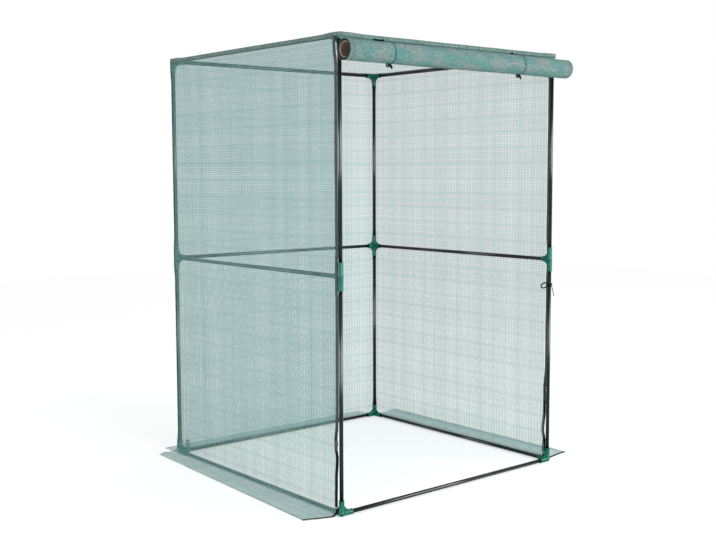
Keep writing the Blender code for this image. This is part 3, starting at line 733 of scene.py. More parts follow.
bottom_shape = connector("bottom_corner", [(1, 0, 0), (0, 1, 0), (0, 0, 1)], foot=True)
top_shape = connector("top_corner", [(0, 1, 0), (1, 0, 0), (0, 0, -1)])
mid_front_shape = connector("mid_front", [(0, 1, 0)], collar=True)
mid_back_shape = connector("mid_back", [(0, -1, 0), (1, 0, 0)], collar=True)
post_places = {
    "front_left": (left_x, front_y),
    "front_right": (right_x, front_y),
    "back_right": (right_x, back_y),
    "back_left": (left_x, back_y),
}
for number, (corner, (x, y)) in enumerate(post_places.items()):
    quarter = number * math.pi / 2
    mid_shape = mid_front_shape if corner.startswith("front") else mid_back_shape
    mid_quarter = -math.pi / 2 if corner == "back_right" else 0
    for level, shape, height, turn in (
        ("bottom", bottom_shape, bottom_height, quarter),
        ("mid", mid_shape, mid_height, mid_quarter),
        ("top", top_shape, top_height, quarter),
    ):
        data = shape.copy()
        data.transform(Matrix.Translation((x, y, height)) @ Matrix.Rotation(turn, 4, "Z"))
        data.shade_smooth()
        data.set_sharp_from_angle(angle=sharp_edge)
        name = f"{level}_connector_{corner}"
        finish = (connector_plastic, "connector_green", "frame")
        round_edges(make_piece(f"{name}_moulding", data, *finish, (name,)), mould_round)
print("connector faces:", len(bottom_shape.polygons), len(mid_back_shape.polygons))

# %% [markdown]
# ## Net panels
#
# Four panels and a narrow header make the cover. Real net hangs almost flat on such a
# frame. It lies against the tubes, and the connectors, which are thicker, push it out a
# little. So each panel is a grid that a slow noise moves by a few millimetres, and one
# function settles every piece of the cover on the tubes in the same way.

# %% Settle the cover on the tubes
settle_at_connectors = 0.0014
settle_depth = 0.0038
settle_start = 0.050
settle_full = 0.090
settle_above_flaps = 0.09
round_corner = 0.0152
seam_height = box_of("net_left")[0].z
connector_spots = [
    Vector((x, y, height))
    for x, y in post_places.values()
    for height in (bottom_height, mid_height, top_height)
]
frame_middle = (front_left_axis + back_right_axis) / 2
half_width = (right_x - left_x) / 2
half_depth = (back_y - front_y) / 2


def smooth_step(value, first, last):
    """0 up to the first value and 1 from the last, with a soft rise between them."""
    share = min(1.0, max(0.0, (value - first) / (last - first)))
    return share * share * (3 - 2 * share)


def settle_amount(point):
    """How far the cover lies in towards the tubes: less near a connector, 0 at the flaps."""
    clear = min((point - spot).length for spot in connector_spots)
    share = smooth_step(clear, settle_start, settle_full)
    depth = settle_at_connectors + (settle_depth - settle_at_connectors) * share
    return depth * smooth_step(point.z, seam_height, seam_height + settle_above_flaps)


def settle(point):
    """Draw a point of the cover in at the sides, the back and the top, and round the corners."""
    amount = settle_amount(point)
    out = point - frame_middle
    beyond = [abs(out.x) - half_width, out.y - half_depth, point.z - top_height]
    moved = point.copy()
    for axis, distance in enumerate(beyond):
        share = min(1.0, max(0.0, distance / tube_radius))
        moved[axis] -= math.copysign(amount * share, out[axis])
    corner_x, corner_y = abs(out.x) - half_width, abs(out.y) - half_depth
    if corner_x > 0 and corner_y > 0:
        shrink = min(1.0, round_corner / math.hypot(corner_x, corner_y))
        moved.x -= math.copysign(corner_x * (1 - shrink), out.x)
        moved.y -= math.copysign(corner_y * (1 - shrink), out.y)
    return moved


# %% Net panels
slow_bulge = 0.0030
side_bulge = 0.004
roof_sag = 0.012
panel_cell = 0.030
held_across = 0.12
held_up = 0.08


def hold(across, up):
    """0 at a panel's edges and 1 well inside it."""
    sides = min(across, 1 - across, held_across) / held_across
    ends = min(up, 1 - up, held_up) / held_up
    return sides * ends


def side_drape(a, b):
    return -side_bulge * math.sin(math.pi * a) * abs(math.sin(2 * math.pi * b))


def roof_drape(a, b):
    return -roof_sag * math.sin(math.pi * a) * math.sin(math.pi * b)


def no_drape(a, b):
    return 0.0


def panel(node_name, along, up, outward, drape, seed):
    """The net of one panel node, from its lower corner."""
    low, high = box_of(node_name)
    along, up, outward = Vector(along), Vector(up), Vector(outward)
    size = high - low
    width, height = size.dot(along), size.dot(up)
    origin = low + outward * (size.dot(outward) / 2)

    def place(a, b):
        flat = origin + along * (a * width) + up * (b * height)
        slow = noise.noise(Vector((a * 5.0, b * 7.0, seed)))
        return settle(flat) + outward * (hold(a, b) * (slow * slow_bulge + drape(a, b)))

    name = f"{node_name}_cloth"
    columns, rows = (max(2, round(length / panel_cell)) for length in (width, height))
    data = bent_grid(name, columns, rows, place, lambda a, b: (a * width, b * height), outward)
    piece = make_piece(name, data, cover_net, "cover_net", "frame", (node_name,))
    return f"{node_name} {width:.3f} by {height:.3f} m"


# Node, its two directions, the way that it faces, and how it hangs.
panels = (
    ("net_left", (0, 1, 0), (0, 0, 1), (-1, 0, 0), side_drape),
    ("net_right", (0, 1, 0), (0, 0, 1), (1, 0, 0), side_drape),
    ("net_back", (1, 0, 0), (0, 0, 1), (0, 1, 0), side_drape),
    ("net_roof", (1, 0, 0), (0, 1, 0), (0, 0, 1), roof_drape),
    ("header_net", (1, 0, 0), (0, 0, 1), (0, -1, 0), no_drape),
)
for number, description in enumerate(panels, start=1):
    print(panel(*description, float(number)))

# %% [markdown]
# ## Bindings
#
# Woven tape is folded over each seam of the cover. On the roof it lies round the edge, and
# on the back corners it runs from the roof to the ground. Two rows of stitches hold it. The
# tape is denser than the net, so it shows as a darker band.

# %% Binding cloth
stitch_pitch = 0.0035
stitch_share = 0.7
stitch_width = 0.0011
shade_edge_soft = 0.001
low_color_heights = (0.26, 0.40)


def stitch_row(tree, axes, row):
    """1 on the stitches of one row: dashes along X at the height row."""
    away = work_out(tree, "ABSOLUTE", work_out(tree, "SUBTRACT", axes["Y"], row))
    on_row = map_range(tree, away, stitch_width * 0.4, stitch_width * 0.6, 1.0, 0.0)
    along = work_out(tree, "FRACT", work_out(tree, "DIVIDE", axes["X"], stitch_pitch))
    on_dash = work_out(tree, "LESS_THAN", along, stitch_share)
    return work_out(tree, "MULTIPLY", on_row, on_dash)


def tape_material(name, color, deep, rib, stitch_color, rows, edges=None, low_color=None):
    """Woven tape: fine ribs along it, and rows of stitches at given heights.

    Edges names the two heights between which the tape is painted pale, as the highlight
    of the round tube under it, and beyond them it is painted darker, as the tube's shaded
    sides. The tape may turn to low_color near the ground.
    """
    material, tree, shader = plain_material(name, color, 0.75)
    place = cloth_place(tree)
    axes = axes_of(tree, place)
    height = woven(tree, place, rib, rib * 0.8)["Height"]
    # Where the rib height is low the colour turns to the deep one: painted shade in the hollows
    # between the ribs, over a random cloudy tone.
    cloudy = map_range(tree, noise_of(tree, place, 60.0), 0.3, 0.7)
    hollow = work_out(tree, "ADD", cloudy, 0.2)
    shade = work_out(tree, "MULTIPLY_ADD", height, -0.5, hollow)
    base = mix_color(tree, work_out(tree, "ADD", shade, 0.0, clamp=True), color, deep)
    # Painted highlight between the two heights and painted shade beyond them, from the round tube
    # under the tape.
    if edges:
        first, last = edges
        above = map_range(tree, axes["Y"], last - shade_edge_soft, last + shade_edge_soft)
        below = map_range(tree, axes["Y"], first - shade_edge_soft, first + shade_edge_soft, 1.0, 0.0)
        fold = work_out(tree, "MAXIMUM", above, below)
        base = mix_color(tree, work_out(tree, "MULTIPLY", fold, 0.75), base, deep)
    for row in rows:
        stitches = stitch_row(tree, axes, row)
        base = mix_color(tree, stitches, base, stitch_color)
        height = work_out(tree, "MULTIPLY_ADD", stitches, 1.5, height)
    if low_color:
        up = axes_of(tree, room_place(tree))["Z"]
        base = mix_color(tree, map_range(tree, up, *low_color_heights), low_color, base)
    bump(tree, shader, height, 0.00025)
    finish_shader(tree, shader, 0.0, base)
    shader.inputs["Sheen Weight"].default_value = 0.10
    return material


binding_cloth = tape_material(
    "binding cloth",
    color=(0.300, 0.430, 0.405),
    deep=(0.110, 0.215, 0.195),
    rib=0.0011,
    stitch_color=(0.340, 0.480, 0.450),
    rows=(0.0034, 0.0136),
    # Painted highlight between these heights, painted shade beyond them.
    edges=(0.0052, 0.0118),
)
corner_binding_cloth = tape_material(
    "corner binding cloth",
    color=(0.110, 0.270, 0.235),
    deep=(0.060, 0.180, 0.150),
    rib=0.0011,
    stitch_color=(0.20, 0.42, 0.36),
    rows=(0.003, 0.0125),
)

# %% Bindings
corner_round = 0.011
tape_thickness = 0.0008
roof_inset = 0.0009
back_inset = 0.0006
band_cell = 0.05
band_low, band_high = box_of("roof_binding")
band_middle = (band_low.z + band_high.z) / 2 - 0.004


def rounded_outline(low, high, radius):
    """Straight runs and corner arcs round a rectangle: points and outward directions."""
    points = []
    centres = (
        (high.x - radius, low.y + radius, -90),
        (high.x - radius, high.y - radius, 0),
        (low.x + radius, high.y - radius, 90),
        (low.x + radius, low.y + radius, 180),
    )
    for x, y, first in centres:
        for step in range(5):
            angle = math.radians(first + step * 22.5)
            out = Vector((math.cos(angle), math.sin(angle), 0))
            points.append((Vector((x, y, 0)) + out * radius, out))
    return points


def run_lengths(points):
    """How far along a line each of its points is."""
    lengths = [0.0]
    for first, second in zip(points, points[1:]):
        lengths.append(lengths[-1] + math.dist(first, second))
    return lengths


def band_mesh(name, outline, profile):
    """Loft a profile of (outward, up) points round an outline, with UVs in metres."""
    ring = outline + [outline[0]]
    spots = [(*ring[0], 0.0)]
    travelled = 0.0
    for (before, before_out), (point, out) in zip(ring, ring[1:]):
        gap = (point - before).length
        steps = max(1, round(gap / band_cell))
        for step in range(1, steps + 1):
            share = step / steps
            spot = (before.lerp(point, share), before_out.lerp(out, share))
            spots.append((*spot, travelled + gap * share))
        travelled += gap
    heights = run_lengths(profile)

    def place(a, b):
        point, out, _ = spots[round(a * (len(spots) - 1))]
        outward, up = profile[round(b * (len(profile) - 1))]
        wave = noise.noise(Vector((point.x * 9, point.y * 9, point.z * 9 + up * 40))) * 0.0006
        spot = settle(point + out * (outward + wave) + Vector((0, 0, band_middle)))
        drop = settle_amount(Vector((spot.x, spot.y, top_height)))
        return Vector((spot.x, spot.y, up + wave - drop))

    def lay(a, b):
        return (spots[round(a * (len(spots) - 1))][2], heights[round(b * (len(profile) - 1))])

    return bent_grid(name, len(spots) - 1, len(profile) - 1, place, lay)


inset = Vector((roof_inset, roof_inset, 0))
roof_edge = rounded_outline(band_low + inset, band_high - inset, corner_round)
roof_profile = (
    (0.0004, band_low.z - 0.0022),
    (0.0002, band_low.z + 0.0016),
    (0.0006, band_low.z + 0.006),
    (0.0004, band_high.z - 0.004),
    (0.0000, band_high.z - 0.0008),
    (-0.0014, band_high.z + 0.0006),
    (-0.0080, band_high.z + 0.0009),
    (-0.0125, band_high.z + 0.0006),
)
data = band_mesh("roof_binding_tape", roof_edge, roof_profile)
finish = (binding_cloth, "binding_cloth", "frame")
thicken(make_piece("roof_binding_tape", data, *finish, ("roof_binding",)), tape_thickness)

for side, sign in (("left", -1), ("right", 1)):
    low, high = box_of(f"back_binding_{side}")
    outer_x = low.x + back_inset if sign < 0 else high.x - back_inset
    outer_y = high.y - back_inset
    width, _, length = high - low
    fold = (
        (outer_x, outer_y - width),
        (outer_x, outer_y - width * 0.6),
        (outer_x, outer_y - 0.003),
        (outer_x - sign * 0.0008, outer_y - 0.0008),
        (outer_x - sign * 0.003, outer_y),
        (outer_x - sign * width * 0.6, outer_y),
        (outer_x - sign * width, outer_y),
    )
    runs = run_lengths(fold)

    def place(a, b):
        x, y = fold[round(a * (len(fold) - 1))]
        wave = noise.noise(Vector((sign * 3.0, b * 30.0, a))) * 0.0005
        return settle(Vector((x + sign * wave, y + wave, low.z + b * length)))

    def lay(a, b):
        return (b * length, runs[round(a * (len(fold) - 1))])

    name = f"back_binding_{side}"
    data = bent_grid(f"{name}_tape", len(fold) - 1, 60, place, lay, (sign, 1, 0))
    finish = (corner_binding_cloth, "binding_cloth", "frame")
    thicken(make_piece(f"{name}_tape", data, *finish, (name,)), tape_thickness)
print(f"corner tape {runs[-1] * 1000:.0f} mm across")

# %% [markdown]
# ## Ground flaps
#
# The cover is longer than the frame is high. What is left over curls out at the bottom and
# lies on the ground, where stones or soil would hold it. A flap is lofted between its two
# ends with the same curl, and small waves lift it where it lies. Its outer edge has a hem,
# and the front ends of the side flaps are bound with black zip tape.

# %% Flap shapes
curl_run = 0.034
curl_power = 1.6
curl_share = 0.42
flap_lift = 0.0012
flap_top = seam_height - 0.0012 - flap_lift
wall_gap = 0.0004
wave_height = 0.006
gather_from = 0.85
gather_skew = 0.7
flap_columns = 60
flap_rows = 34
hem_rows = 2


def flap_profile(t, reach):
    """Outward run and height along a flap, from the wall at 0 to the outer edge at 1."""
    if t < curl_share:
        angle = t / curl_share * math.pi / 2
        return curl_run * (1 - math.cos(angle)), flap_top * (1 - math.sin(angle)) ** curl_power
    rest = (t - curl_share) / (1 - curl_share)
    return curl_run + (reach - curl_run) * rest, 0.0


def flap_sheet(name, stations, wall, seed, columns, swell=0.0):
    """The mesh of a flap between its two ends, which are (place, slant, reach) each.

    Wall is a point on the wall, the way out from it and the way along it. The far end may
    swell beyond a straight edge, where the cloth is gathered at a corner.
    """
    origin, outward, along = (Vector(item) for item in wall)
    near, far = stations
    length, reach_of_uv = far[0] - near[0], max(near[2], far[2]) + flap_top * 0.6

    def place(a, b):
        start_at, slant, reach = (first + (last - first) * a for first, last in zip(near, far))
        run, rise = flap_profile(b, reach)
        gather = math.sin(math.pi * (run / reach) ** gather_skew)
        shift = start_at + slant * run / reach
        shift += swell * smooth_step(a, gather_from, 1.0) * gather
        free = max(0.0, (run - curl_run) / reach)
        wave = noise.noise(Vector((shift * 11.0, run * 16.0, seed)))
        lift = flap_lift + max(0.0, wave) * wave_height * free ** 0.5
        return origin + outward * (run + wall_gap) + along * shift + Vector((0, 0, rise + lift))

    def lay(a, b):
        return (a * length, b * reach_of_uv)

    return bent_grid(name, columns, flap_rows, place, lay, (0, 0, 1))


def hemmed_flap(node_name, body, cloth, stations, wall, seed, swell=0.0):
    """A flap whose last rows have the hem's material."""
    name = f"{node_name}_cloth"
    data = flap_sheet(name, stations, wall, seed, flap_columns, swell)
    piece = make_piece(name, data, (cloth, hem_net), "cover_net", body, (node_name,))
    for face in data.polygons:
        if face.index // flap_columns >= flap_rows - hem_rows:
            face.material_index = 1


# %% [markdown]
# The tape on the ends of the flaps and on the zips is woven polyester, with one row of paler
# stitches along it. It is black. Beside the posts its upper part is painted grey green, as
# sheen on the black tape, and it turns back to black near the ground.

# %% Zip cloth
zip_black = (0.010, 0.016, 0.015)
zip_rows = {"rib": 0.0009, "rows": (0.0125,)}
zip_cloth = tape_material(
    "zip cloth",
    color=zip_black,
    deep=(0.006, 0.009, 0.009),
    stitch_color=(0.030, 0.050, 0.045),
    **zip_rows,
)
# Black tape with painted sheen: grey green above, and its own black near the ground.
sheen_painted_zip_cloth = tape_material(
    "side zip cloth with painted sheen",
    color=(0.120, 0.180, 0.170),
    deep=(0.070, 0.112, 0.105),
    stitch_color=(0.200, 0.270, 0.255),
    low_color=zip_black,
    **zip_rows,
)
zip_teeth, tree, shader = plain_material("zip teeth", (0.008, 0.010, 0.010), 0.34)
rubbed = map_range(tree, noise_of(tree, room_place(tree), 400.0), 0.3, 0.7, 0.28, 0.42)
finish_shader(tree, shader, 0.10, roughness=rubbed)

# %% Flaps
end_tape_width = 0.012
end_tape_thickness = 0.0010
left_reach_back = 0.072
left_swell = 0.045
back_slant = 0.006
back = box_of("net_back")[0].y - 0.0003
for side, sign in (("left", -1), ("right", 1)):
    is_left = side == "left"
    body = f"{side}_flap"
    flap_low, flap_high = box_of(f"flap_{side}")
    tape_low, tape_high = box_of(f"flap_tape_{side}")
    wall = ((flap_high.x if is_left else flap_low.x, 0, 0), (sign, 0, 0), (0, 1, 0))
    reach = flap_high.x - flap_low.x
    front = tape_low.y
    slant = tape_high.y - front - end_tape_width
    seam = (front + end_tape_width, slant, reach)
    far = (back, flap_high.y - back, left_reach_back if is_left else reach)
    seed = 11.0 + sign
    # The left flap takes the darker net, with its painted shadow.
    cloth, swell = (shadowed_flap_net, left_swell) if is_left else (cover_net, 0.0)
    hemmed_flap(f"flap_{side}", body, cloth, (seam, far), wall, seed, swell)
    name = f"flap_tape_{side}"
    data = flap_sheet(f"{name}_cloth", ((front, slant, reach), seam), wall, seed, 4)
    piece = make_piece(f"{name}_cloth", data, zip_cloth, "zip_black", body, (name,))
    thicken(piece, end_tape_thickness)

flap_low, flap_high = box_of("flap_back")
reach = flap_high.y - flap_low.y
stations = ((flap_low.x, back_slant, reach), (flap_high.x, -back_slant, reach))
wall = ((0, flap_low.y, 0), (0, 1, 0), (1, 0, 0))
hemmed_flap("flap_back", "back_flap", cover_net, stations, wall, 15.0)

# %% [markdown]
# ## Zips
#
# Half a zip runs down each side of the door opening: dark tape, sewn to the net, with its
# teeth towards the door. Loose tape is never straight, so slow waves move it and its teeth
# forward by up to a centimetre. The slider goes straight up and down, and the tape is on its
# line only where the slider rests and at both ends.

# %% Zip tapes
tooth_pitch = 0.0030
tooth_size = (0.0020, 0.0022, 0.0016)
zip_tape_thickness = 0.0009
teeth_behind = 0.0012
wander_size = 0.0024
low_wave = 0.0035
low_wave_turn = 34.0
draw_over = 0.16
sway_size = 0.002
flare_size = 0.003
# The distances over which the tape comes free of the slider, of its top and of its foot.
free_of_slider = (0.012, 0.060)
free_of_top = (0.02, 0.12)
free_of_foot = (0.045, 0.105)
for side, sign, forward_draw in (("left", -1, 0.0045), ("right", 1, 0.0110)):
    name = f"zip_tape_{side}"
    low, high = box_of(name)
    line_x, line_y = (low.x + high.x) / 2, low.y
    _, width, length = high - low
    grip_z = middle(f"zip_slider_{side}").z

    def loose(z):
        """0 where the slider grips the tape and at both of its ends, 1 where it hangs free."""
        grip = smooth_step(abs(z - grip_z), *free_of_slider)
        top = smooth_step(high.z - z, *free_of_top)
        return grip * top * smooth_step(z - low.z, *free_of_foot)

    def zip_line(z):
        """Where the teeth run at a height: drawn in on the post and a little forward."""
        drawn = settle_amount(Vector((line_x, front_y, z)))
        wander = noise.noise(Vector((z * 2.3, sign * 4.0, 0.5))) * wander_size
        if z > grip_z:
            forward = forward_draw * smooth_step(z, grip_z, grip_z + draw_over) + wander
        else:
            forward = low_wave * math.sin(z * low_wave_turn) + wander
        return line_x - sign * drawn * loose(z), line_y + teeth_behind - forward * loose(z)

    def place(a, b):
        z = low.z + b * length
        x, y = zip_line(z)
        sway = noise.noise(Vector((z * 6.0, sign * 2.0, a))) * sway_size * a
        belly = noise.noise(Vector((z * 4.0, sign, 3.0)))
        flare = sign * flare_size * a * (1 - a) * 4 * belly
        return Vector((x + flare, y + a * width + sway, z))

    def lay(a, b):
        return (b * length, a * width)

    data = bent_grid(f"{name}_cloth", 6, 240, place, lay, (sign, 0, 0))
    piece = make_piece(f"{name}_cloth", data, sheen_painted_zip_cloth, "zip_black", "frame", (name,))
    thicken(piece, zip_tape_thickness)
    shape = bmesh.new()
    teeth = int(length / tooth_pitch)
    for number in range(teeth):
        z = low.z + tooth_pitch * (number + 0.5)
        spot = Matrix.Translation((*zip_line(z), z)) @ Matrix.Diagonal((*tooth_size, 1.0))
        bmesh.ops.create_cube(shape, size=1.0, matrix=spot)
    data = mesh_of(f"{name}_teeth", shape, smooth=False)
    make_piece(f"{name}_teeth", data, zip_teeth, "zip_black", "frame")
    print(f"{name}: {teeth} teeth on {length:.2f} m")

# %% [markdown]
# The slider and its pull tab keep their working shapes. A Weld modifier joins their loose
# triangles and a Bevel rounds their edges, and a worn dark finish covers them.

# %% Sliders and pull tabs
slider_metal, tree, shader = plain_material("slider metal", (0.050, 0.062, 0.054), 0.45, 0.25)
rubbed = map_range(tree, noise_of(tree, room_place(tree), 260.0, detail=6.0), 0.42, 0.62)
metal_color = mix_color(tree, rubbed, (0.030, 0.040, 0.035), (0.090, 0.100, 0.088))
finish_shader(tree, shader, 0.20, metal_color, map_range(tree, rubbed, 0.0, 1.0, 0.50, 0.36))
same_place = 0.00001
cast_round = 0.0003
slider_nodes = ("zip_slider_left", "zip_slider_right", "pull_tab_left", "pull_tab_right")
for node_name in slider_nodes:
    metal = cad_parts[node_name]
    metal.data.materials.clear()
    metal.data.materials.append(slider_metal)
    metal.modifiers.new("weld", "WELD").merge_threshold = same_place
    round_edges(metal, cast_round)
print("worn finish on", ", ".join(slider_nodes))

# %% [markdown]
# ## Rolled-up door
#
# The door is a sheet of net wound on a card tube. Its outer end hangs from the header and
# runs down behind the roll, then turns under it. Layers of net hide the gaps in each other,
# so the roll looks solid, and its outer turn has creases that run along it.

# %% Wound net material
rolled_net, tree, shader = plain_material("rolled net", net_green, 0.66)
place = cloth_place(tree)
fine = woven(tree, place, fine_pitch, fine_width * 1.5)
stretch = add_node(tree, "ShaderNodeMapping")
stretch.inputs["Scale"].default_value = (1.0, 3.0, 1.0)
tree.links.new(place, stretch.inputs["Vector"])
patch = map_range(tree, noise_of(tree, stretch.outputs[0], 11.0, detail=2.0), 0.42, 0.60)
speckle = map_range(tree, noise_of(tree, place, 130.0, roughness=0.75), 0.40, 0.60)
# The gaps between the threads are painted darker: painted shade of the wound layers below.
gap = work_out(tree, "SUBTRACT", 1.0, fine["Threads"])
wound_color = mix_color(tree, patch, (0.198, 0.425, 0.392), (0.385, 0.450, 0.450))
for mask, weight, shade in (
    (speckle, 0.75, (0.110, 0.215, 0.200)),
    (gap, 0.30, (0.060, 0.150, 0.130)),
):
    wound_color = mix_color(tree, work_out(tree, "MULTIPLY", mask, weight), wound_color, shade)
bump(tree, shader, fine["Height"], 0.0004)
finish_shader(tree, shader, 0.0, wound_color)

# The zip tape at the ends of the roll is black. Its grey blue colour is painted sheen.
sheen_painted_end_cloth = tape_material(
    "door end cloth with painted sheen",
    color=(0.235, 0.345, 0.350),
    deep=(0.120, 0.205, 0.200),
    rib=0.0013,
    stitch_color=(0.03, 0.10, 0.08),
    rows=(0.0015,),
)

# %% Wound door
roll_radius = 0.040
roll_turns = 7.5
steps_per_turn = 36
wound_rows = int(roll_turns * steps_per_turn)
core_radius = 0.0309
core_gap = 0.0008
sheet_thickness = 0.0005
teeth_thickness = 0.0008
crease_depth = 0.0011
small_crease_depth = 0.0005
end_shift = 0.0012
roll_pitch = (roll_radius - core_radius - core_gap) / roll_turns
cloth_overhang = 0.0025
cloth_left, cloth_right = (corner.x for corner in box_of("door_roll"))
roll_left = box_of("door_tape_left")[0].x - cloth_overhang
roll_right = box_of("door_tape_right")[1].x + cloth_overhang
teeth_band = 0.0035
teeth_gap = 0.0003


def wound_place(x_start, x_end):
    """Where a point of the wound sheet is; up runs along the cloth from its outer end."""

    def place(a, b):
        x = x_start + (x_end - x_start) * a
        turn = b * roll_turns
        angle = -2 * math.pi * turn
        outside = max(0.0, 1.0 - turn)
        out, rise = math.cos(angle), math.sin(angle)
        crease = noise.noise(Vector((x * 5.0, out * 2.2, rise * 2.2)))
        small = noise.noise(Vector((x * 26.0, out * 5.0, rise * 5.0)))
        swell = crease * crease_depth + small * small_crease_depth
        swell *= min(1.0, 0.12 + outside ** 0.5)
        swell *= min(1.0, turn * 8.0)
        radius = roll_radius - sheet_thickness / 2 - roll_pitch * turn + swell
        shift = noise.noise(Vector((turn * 1.7, 9.0, 0.0))) * end_shift
        shift *= 1.0 if turn > 1 else 0.3
        return Vector((x + shift, roll_axis.y + radius * out, roll_axis.z + radius * rise))

    return place


parts_of_turn = 20
wound_length = sum(
    2 * math.pi * (roll_radius - roll_pitch * (step + 0.5) / parts_of_turn) / parts_of_turn
    for step in range(int(roll_turns * parts_of_turn))
)
print(f"door cloth on the roll: {wound_length:.2f} m")
left_band, right_band = roll_left + teeth_band, roll_right - teeth_band
# A finish is a material, its slot and how many columns the grid has.
net_finish = (rolled_net, "cover_net", 84)
end_finish = (sheen_painted_end_cloth, "zip_black", 3)
teeth_finish = (zip_teeth, "zip_black", 1)
wound_pieces = (
    ("door_roll_cloth", cloth_left, cloth_right, net_finish, ("door_roll",)),
    ("door_end_left_cloth", left_band, cloth_left, end_finish, ("door_tape_left",)),
    ("door_end_right_cloth", cloth_right, right_band, end_finish, ("door_tape_right",)),
    ("door_teeth_left", roll_left, left_band - teeth_gap, teeth_finish, ()),
    ("door_teeth_right", right_band + teeth_gap, roll_right, teeth_finish, ()),
)
for name, x_start, x_end, finish, nodes in wound_pieces:
    material, slot_name, columns = finish
    width = x_end - x_start
    has_teeth = finish == teeth_finish

    def lay(a, b):
        return (a * width, b * wound_length)

    data = bent_grid(name, columns, wound_rows, wound_place(x_start, x_end), lay)
    piece = make_piece(name, data, material, slot_name, "rolled_door", nodes)
    thicken(piece, teeth_thickness if has_teeth else sheet_thickness)
    if has_teeth:
        # Only the inner turns show teeth: on the outer turn the zip is folded away.
        data.materials.append(sheen_painted_end_cloth)
        for face in data.polygons:
            face.material_index = 1 if face.index < steps_per_turn else 0

# %% [markdown]
# The card tube sits a little inside the cloth at both ends. Its cut edge is pale, and further
# in it is painted dark brown, as shade in its bore, so the distance from the ends sets how
# dark it is.

# %% Card core
core_recess = 0.0035
core_wall = 0.0042
core_sides = 64
cut_edge = (0.0012, 0.0004)
core_low, core_high = box_of("roll_core")
core_length = core_high.x - core_low.x - 2 * core_recess
card, tree, shader = plain_material("card", (0.400, 0.310, 0.215), 0.85)
spot = room_place(tree)
fibre = noise_of(tree, spot, 380.0, detail=5.0, roughness=0.65)
fibres = map_range(tree, fibre, 0.3, 0.7)
pale_card = mix_color(tree, fibres, (0.430, 0.340, 0.250), (0.600, 0.490, 0.370))
# Painted shade deep in the bore of the tube.
bore_shade_card = mix_color(tree, fibre, (0.110, 0.072, 0.042), (0.190, 0.130, 0.080))
from_middle = work_out(tree, "SUBTRACT", axes_of(tree, spot)["X"], roll_axis.x)
from_middle = work_out(tree, "ABSOLUTE", from_middle)
first, last = (core_length / 2 - depth for depth in cut_edge)
inside = map_range(tree, from_middle, first, last, 1.0, 0.0)
bump(tree, shader, fibre, 0.00025)
finish_shader(tree, shader, 0.15, mix_color(tree, inside, pale_card, bore_shade_card))
shape = bmesh.new()
bmesh.ops.create_cone(
    shape,
    cap_ends=False,
    segments=core_sides,
    radius1=core_radius,
    radius2=core_radius,
    depth=core_length,
    matrix=Matrix.Translation(roll_axis) @ Matrix.Rotation(math.pi / 2, 4, "Y"),
)
data = mesh_of("roll_core_card", shape, close=False)
data.shade_smooth()
piece = make_piece("roll_core_card", data, card, "core_card", "rolled_door", ("roll_core",))
thicken(piece, core_wall, offset=-1)

# %% [markdown]
# Between the header and the roll a strip of door net shows. When the door runs down, this
# strip gets longer. Its net pattern reads the place in the room and not the UV map, and so
# it isn't stretched.

# %% Free strip of the door
strip_low, strip_high = box_of("door_strip")
strip_y = (strip_low.y + strip_high.y) / 2
strip_cell = 0.04
strip_parts = (
    ("door_strip_cloth", strip_low.x, strip_high.x, door_net, "cover_net", ("door_strip",)),
    ("door_strip_tape_left", roll_left, strip_low.x, zip_cloth, "zip_black", ()),
    ("door_strip_tape_right", strip_high.x, roll_right, zip_cloth, "zip_black", ()),
)
for name, x_start, x_end, material, slot_name, nodes in strip_parts:
    width, length = x_end - x_start, strip_high.z - strip_low.z

    def place(a, b):
        return Vector((x_start + a * width, strip_y, strip_low.z + b * length))

    def lay(a, b):
        return (b * length, a * width)

    columns = max(2, round(width / strip_cell))
    data = bent_grid(name, columns, 24, place, lay, (0, -1, 0))
    piece = make_piece(name, data, material, slot_name, None, nodes)
    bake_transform(piece)

# %% [markdown]
# ## Ties
#
# Two cords hold the roll up. Each is sewn to the header, passes over the front of the roll
# and under it, and ends in a bow below. A short cord is knotted round the front right post,
# and loops at two corners hold the cover down. Smooth curves through a few points make the
# cords, and a knot is a short coil of the same cord. Where a cord is pulled tight over the
# roll it is thin and pale, and its loose ends are thick and nearly black.

# %% Cord materials


def cord_material(name, color, deep):
    material, tree, shader = plain_material(name, color, 0.70)
    braid = noise_of(tree, room_place(tree), 1300.0, detail=1.0)
    tone = mix_color(tree, map_range(tree, braid, 0.35, 0.65), deep, color)
    bump(tree, shader, braid, 0.0004)
    finish_shader(tree, shader, 0.0, tone)
    return material


cord_cloth = cord_material("cord", (0.012, 0.038, 0.032), (0.003, 0.011, 0.009))
tight_cord = cord_material("tight cord", (0.120, 0.235, 0.215), (0.060, 0.140, 0.125))

# %% Cord shapes
turn_steps = 8
knot_turns = 2.2
knot_rise = 0.0030
oval_steps = 10
x_way, y_way, z_way = Vector((1, 0, 0)), Vector((0, 1, 0)), Vector((0, 0, 1))


def cord_mesh(name, paths, radius):
    """Round cords through lists of points, as one mesh with closed ends."""
    curve = bpy.data.curves.new(name, "CURVE")
    curve.dimensions = "3D"
    curve.bevel_depth = radius
    curve.bevel_resolution = 3
    curve.resolution_u = 5
    curve.use_fill_caps = True
    for path in paths:
        spline = curve.splines.new("BEZIER")
        spline.bezier_points.add(len(path) - 1)
        for point, spot in zip(spline.bezier_points, path):
            point.co = spot
            point.handle_left_type = point.handle_right_type = "AUTO"
    holder = bpy.data.objects.new(name, curve)
    bpy.context.collection.objects.link(holder)
    bpy.context.view_layer.update()
    graph = bpy.context.evaluated_depsgraph_get()
    data = bpy.data.meshes.new_from_object(holder.evaluated_get(graph))
    bpy.data.objects.remove(holder, do_unlink=True)
    shape = bmesh.new()
    shape.from_mesh(data)
    bmesh.ops.remove_doubles(shape, verts=shape.verts, dist=same_place)
    bpy.data.meshes.remove(data)
    return mesh_of(name, shape)


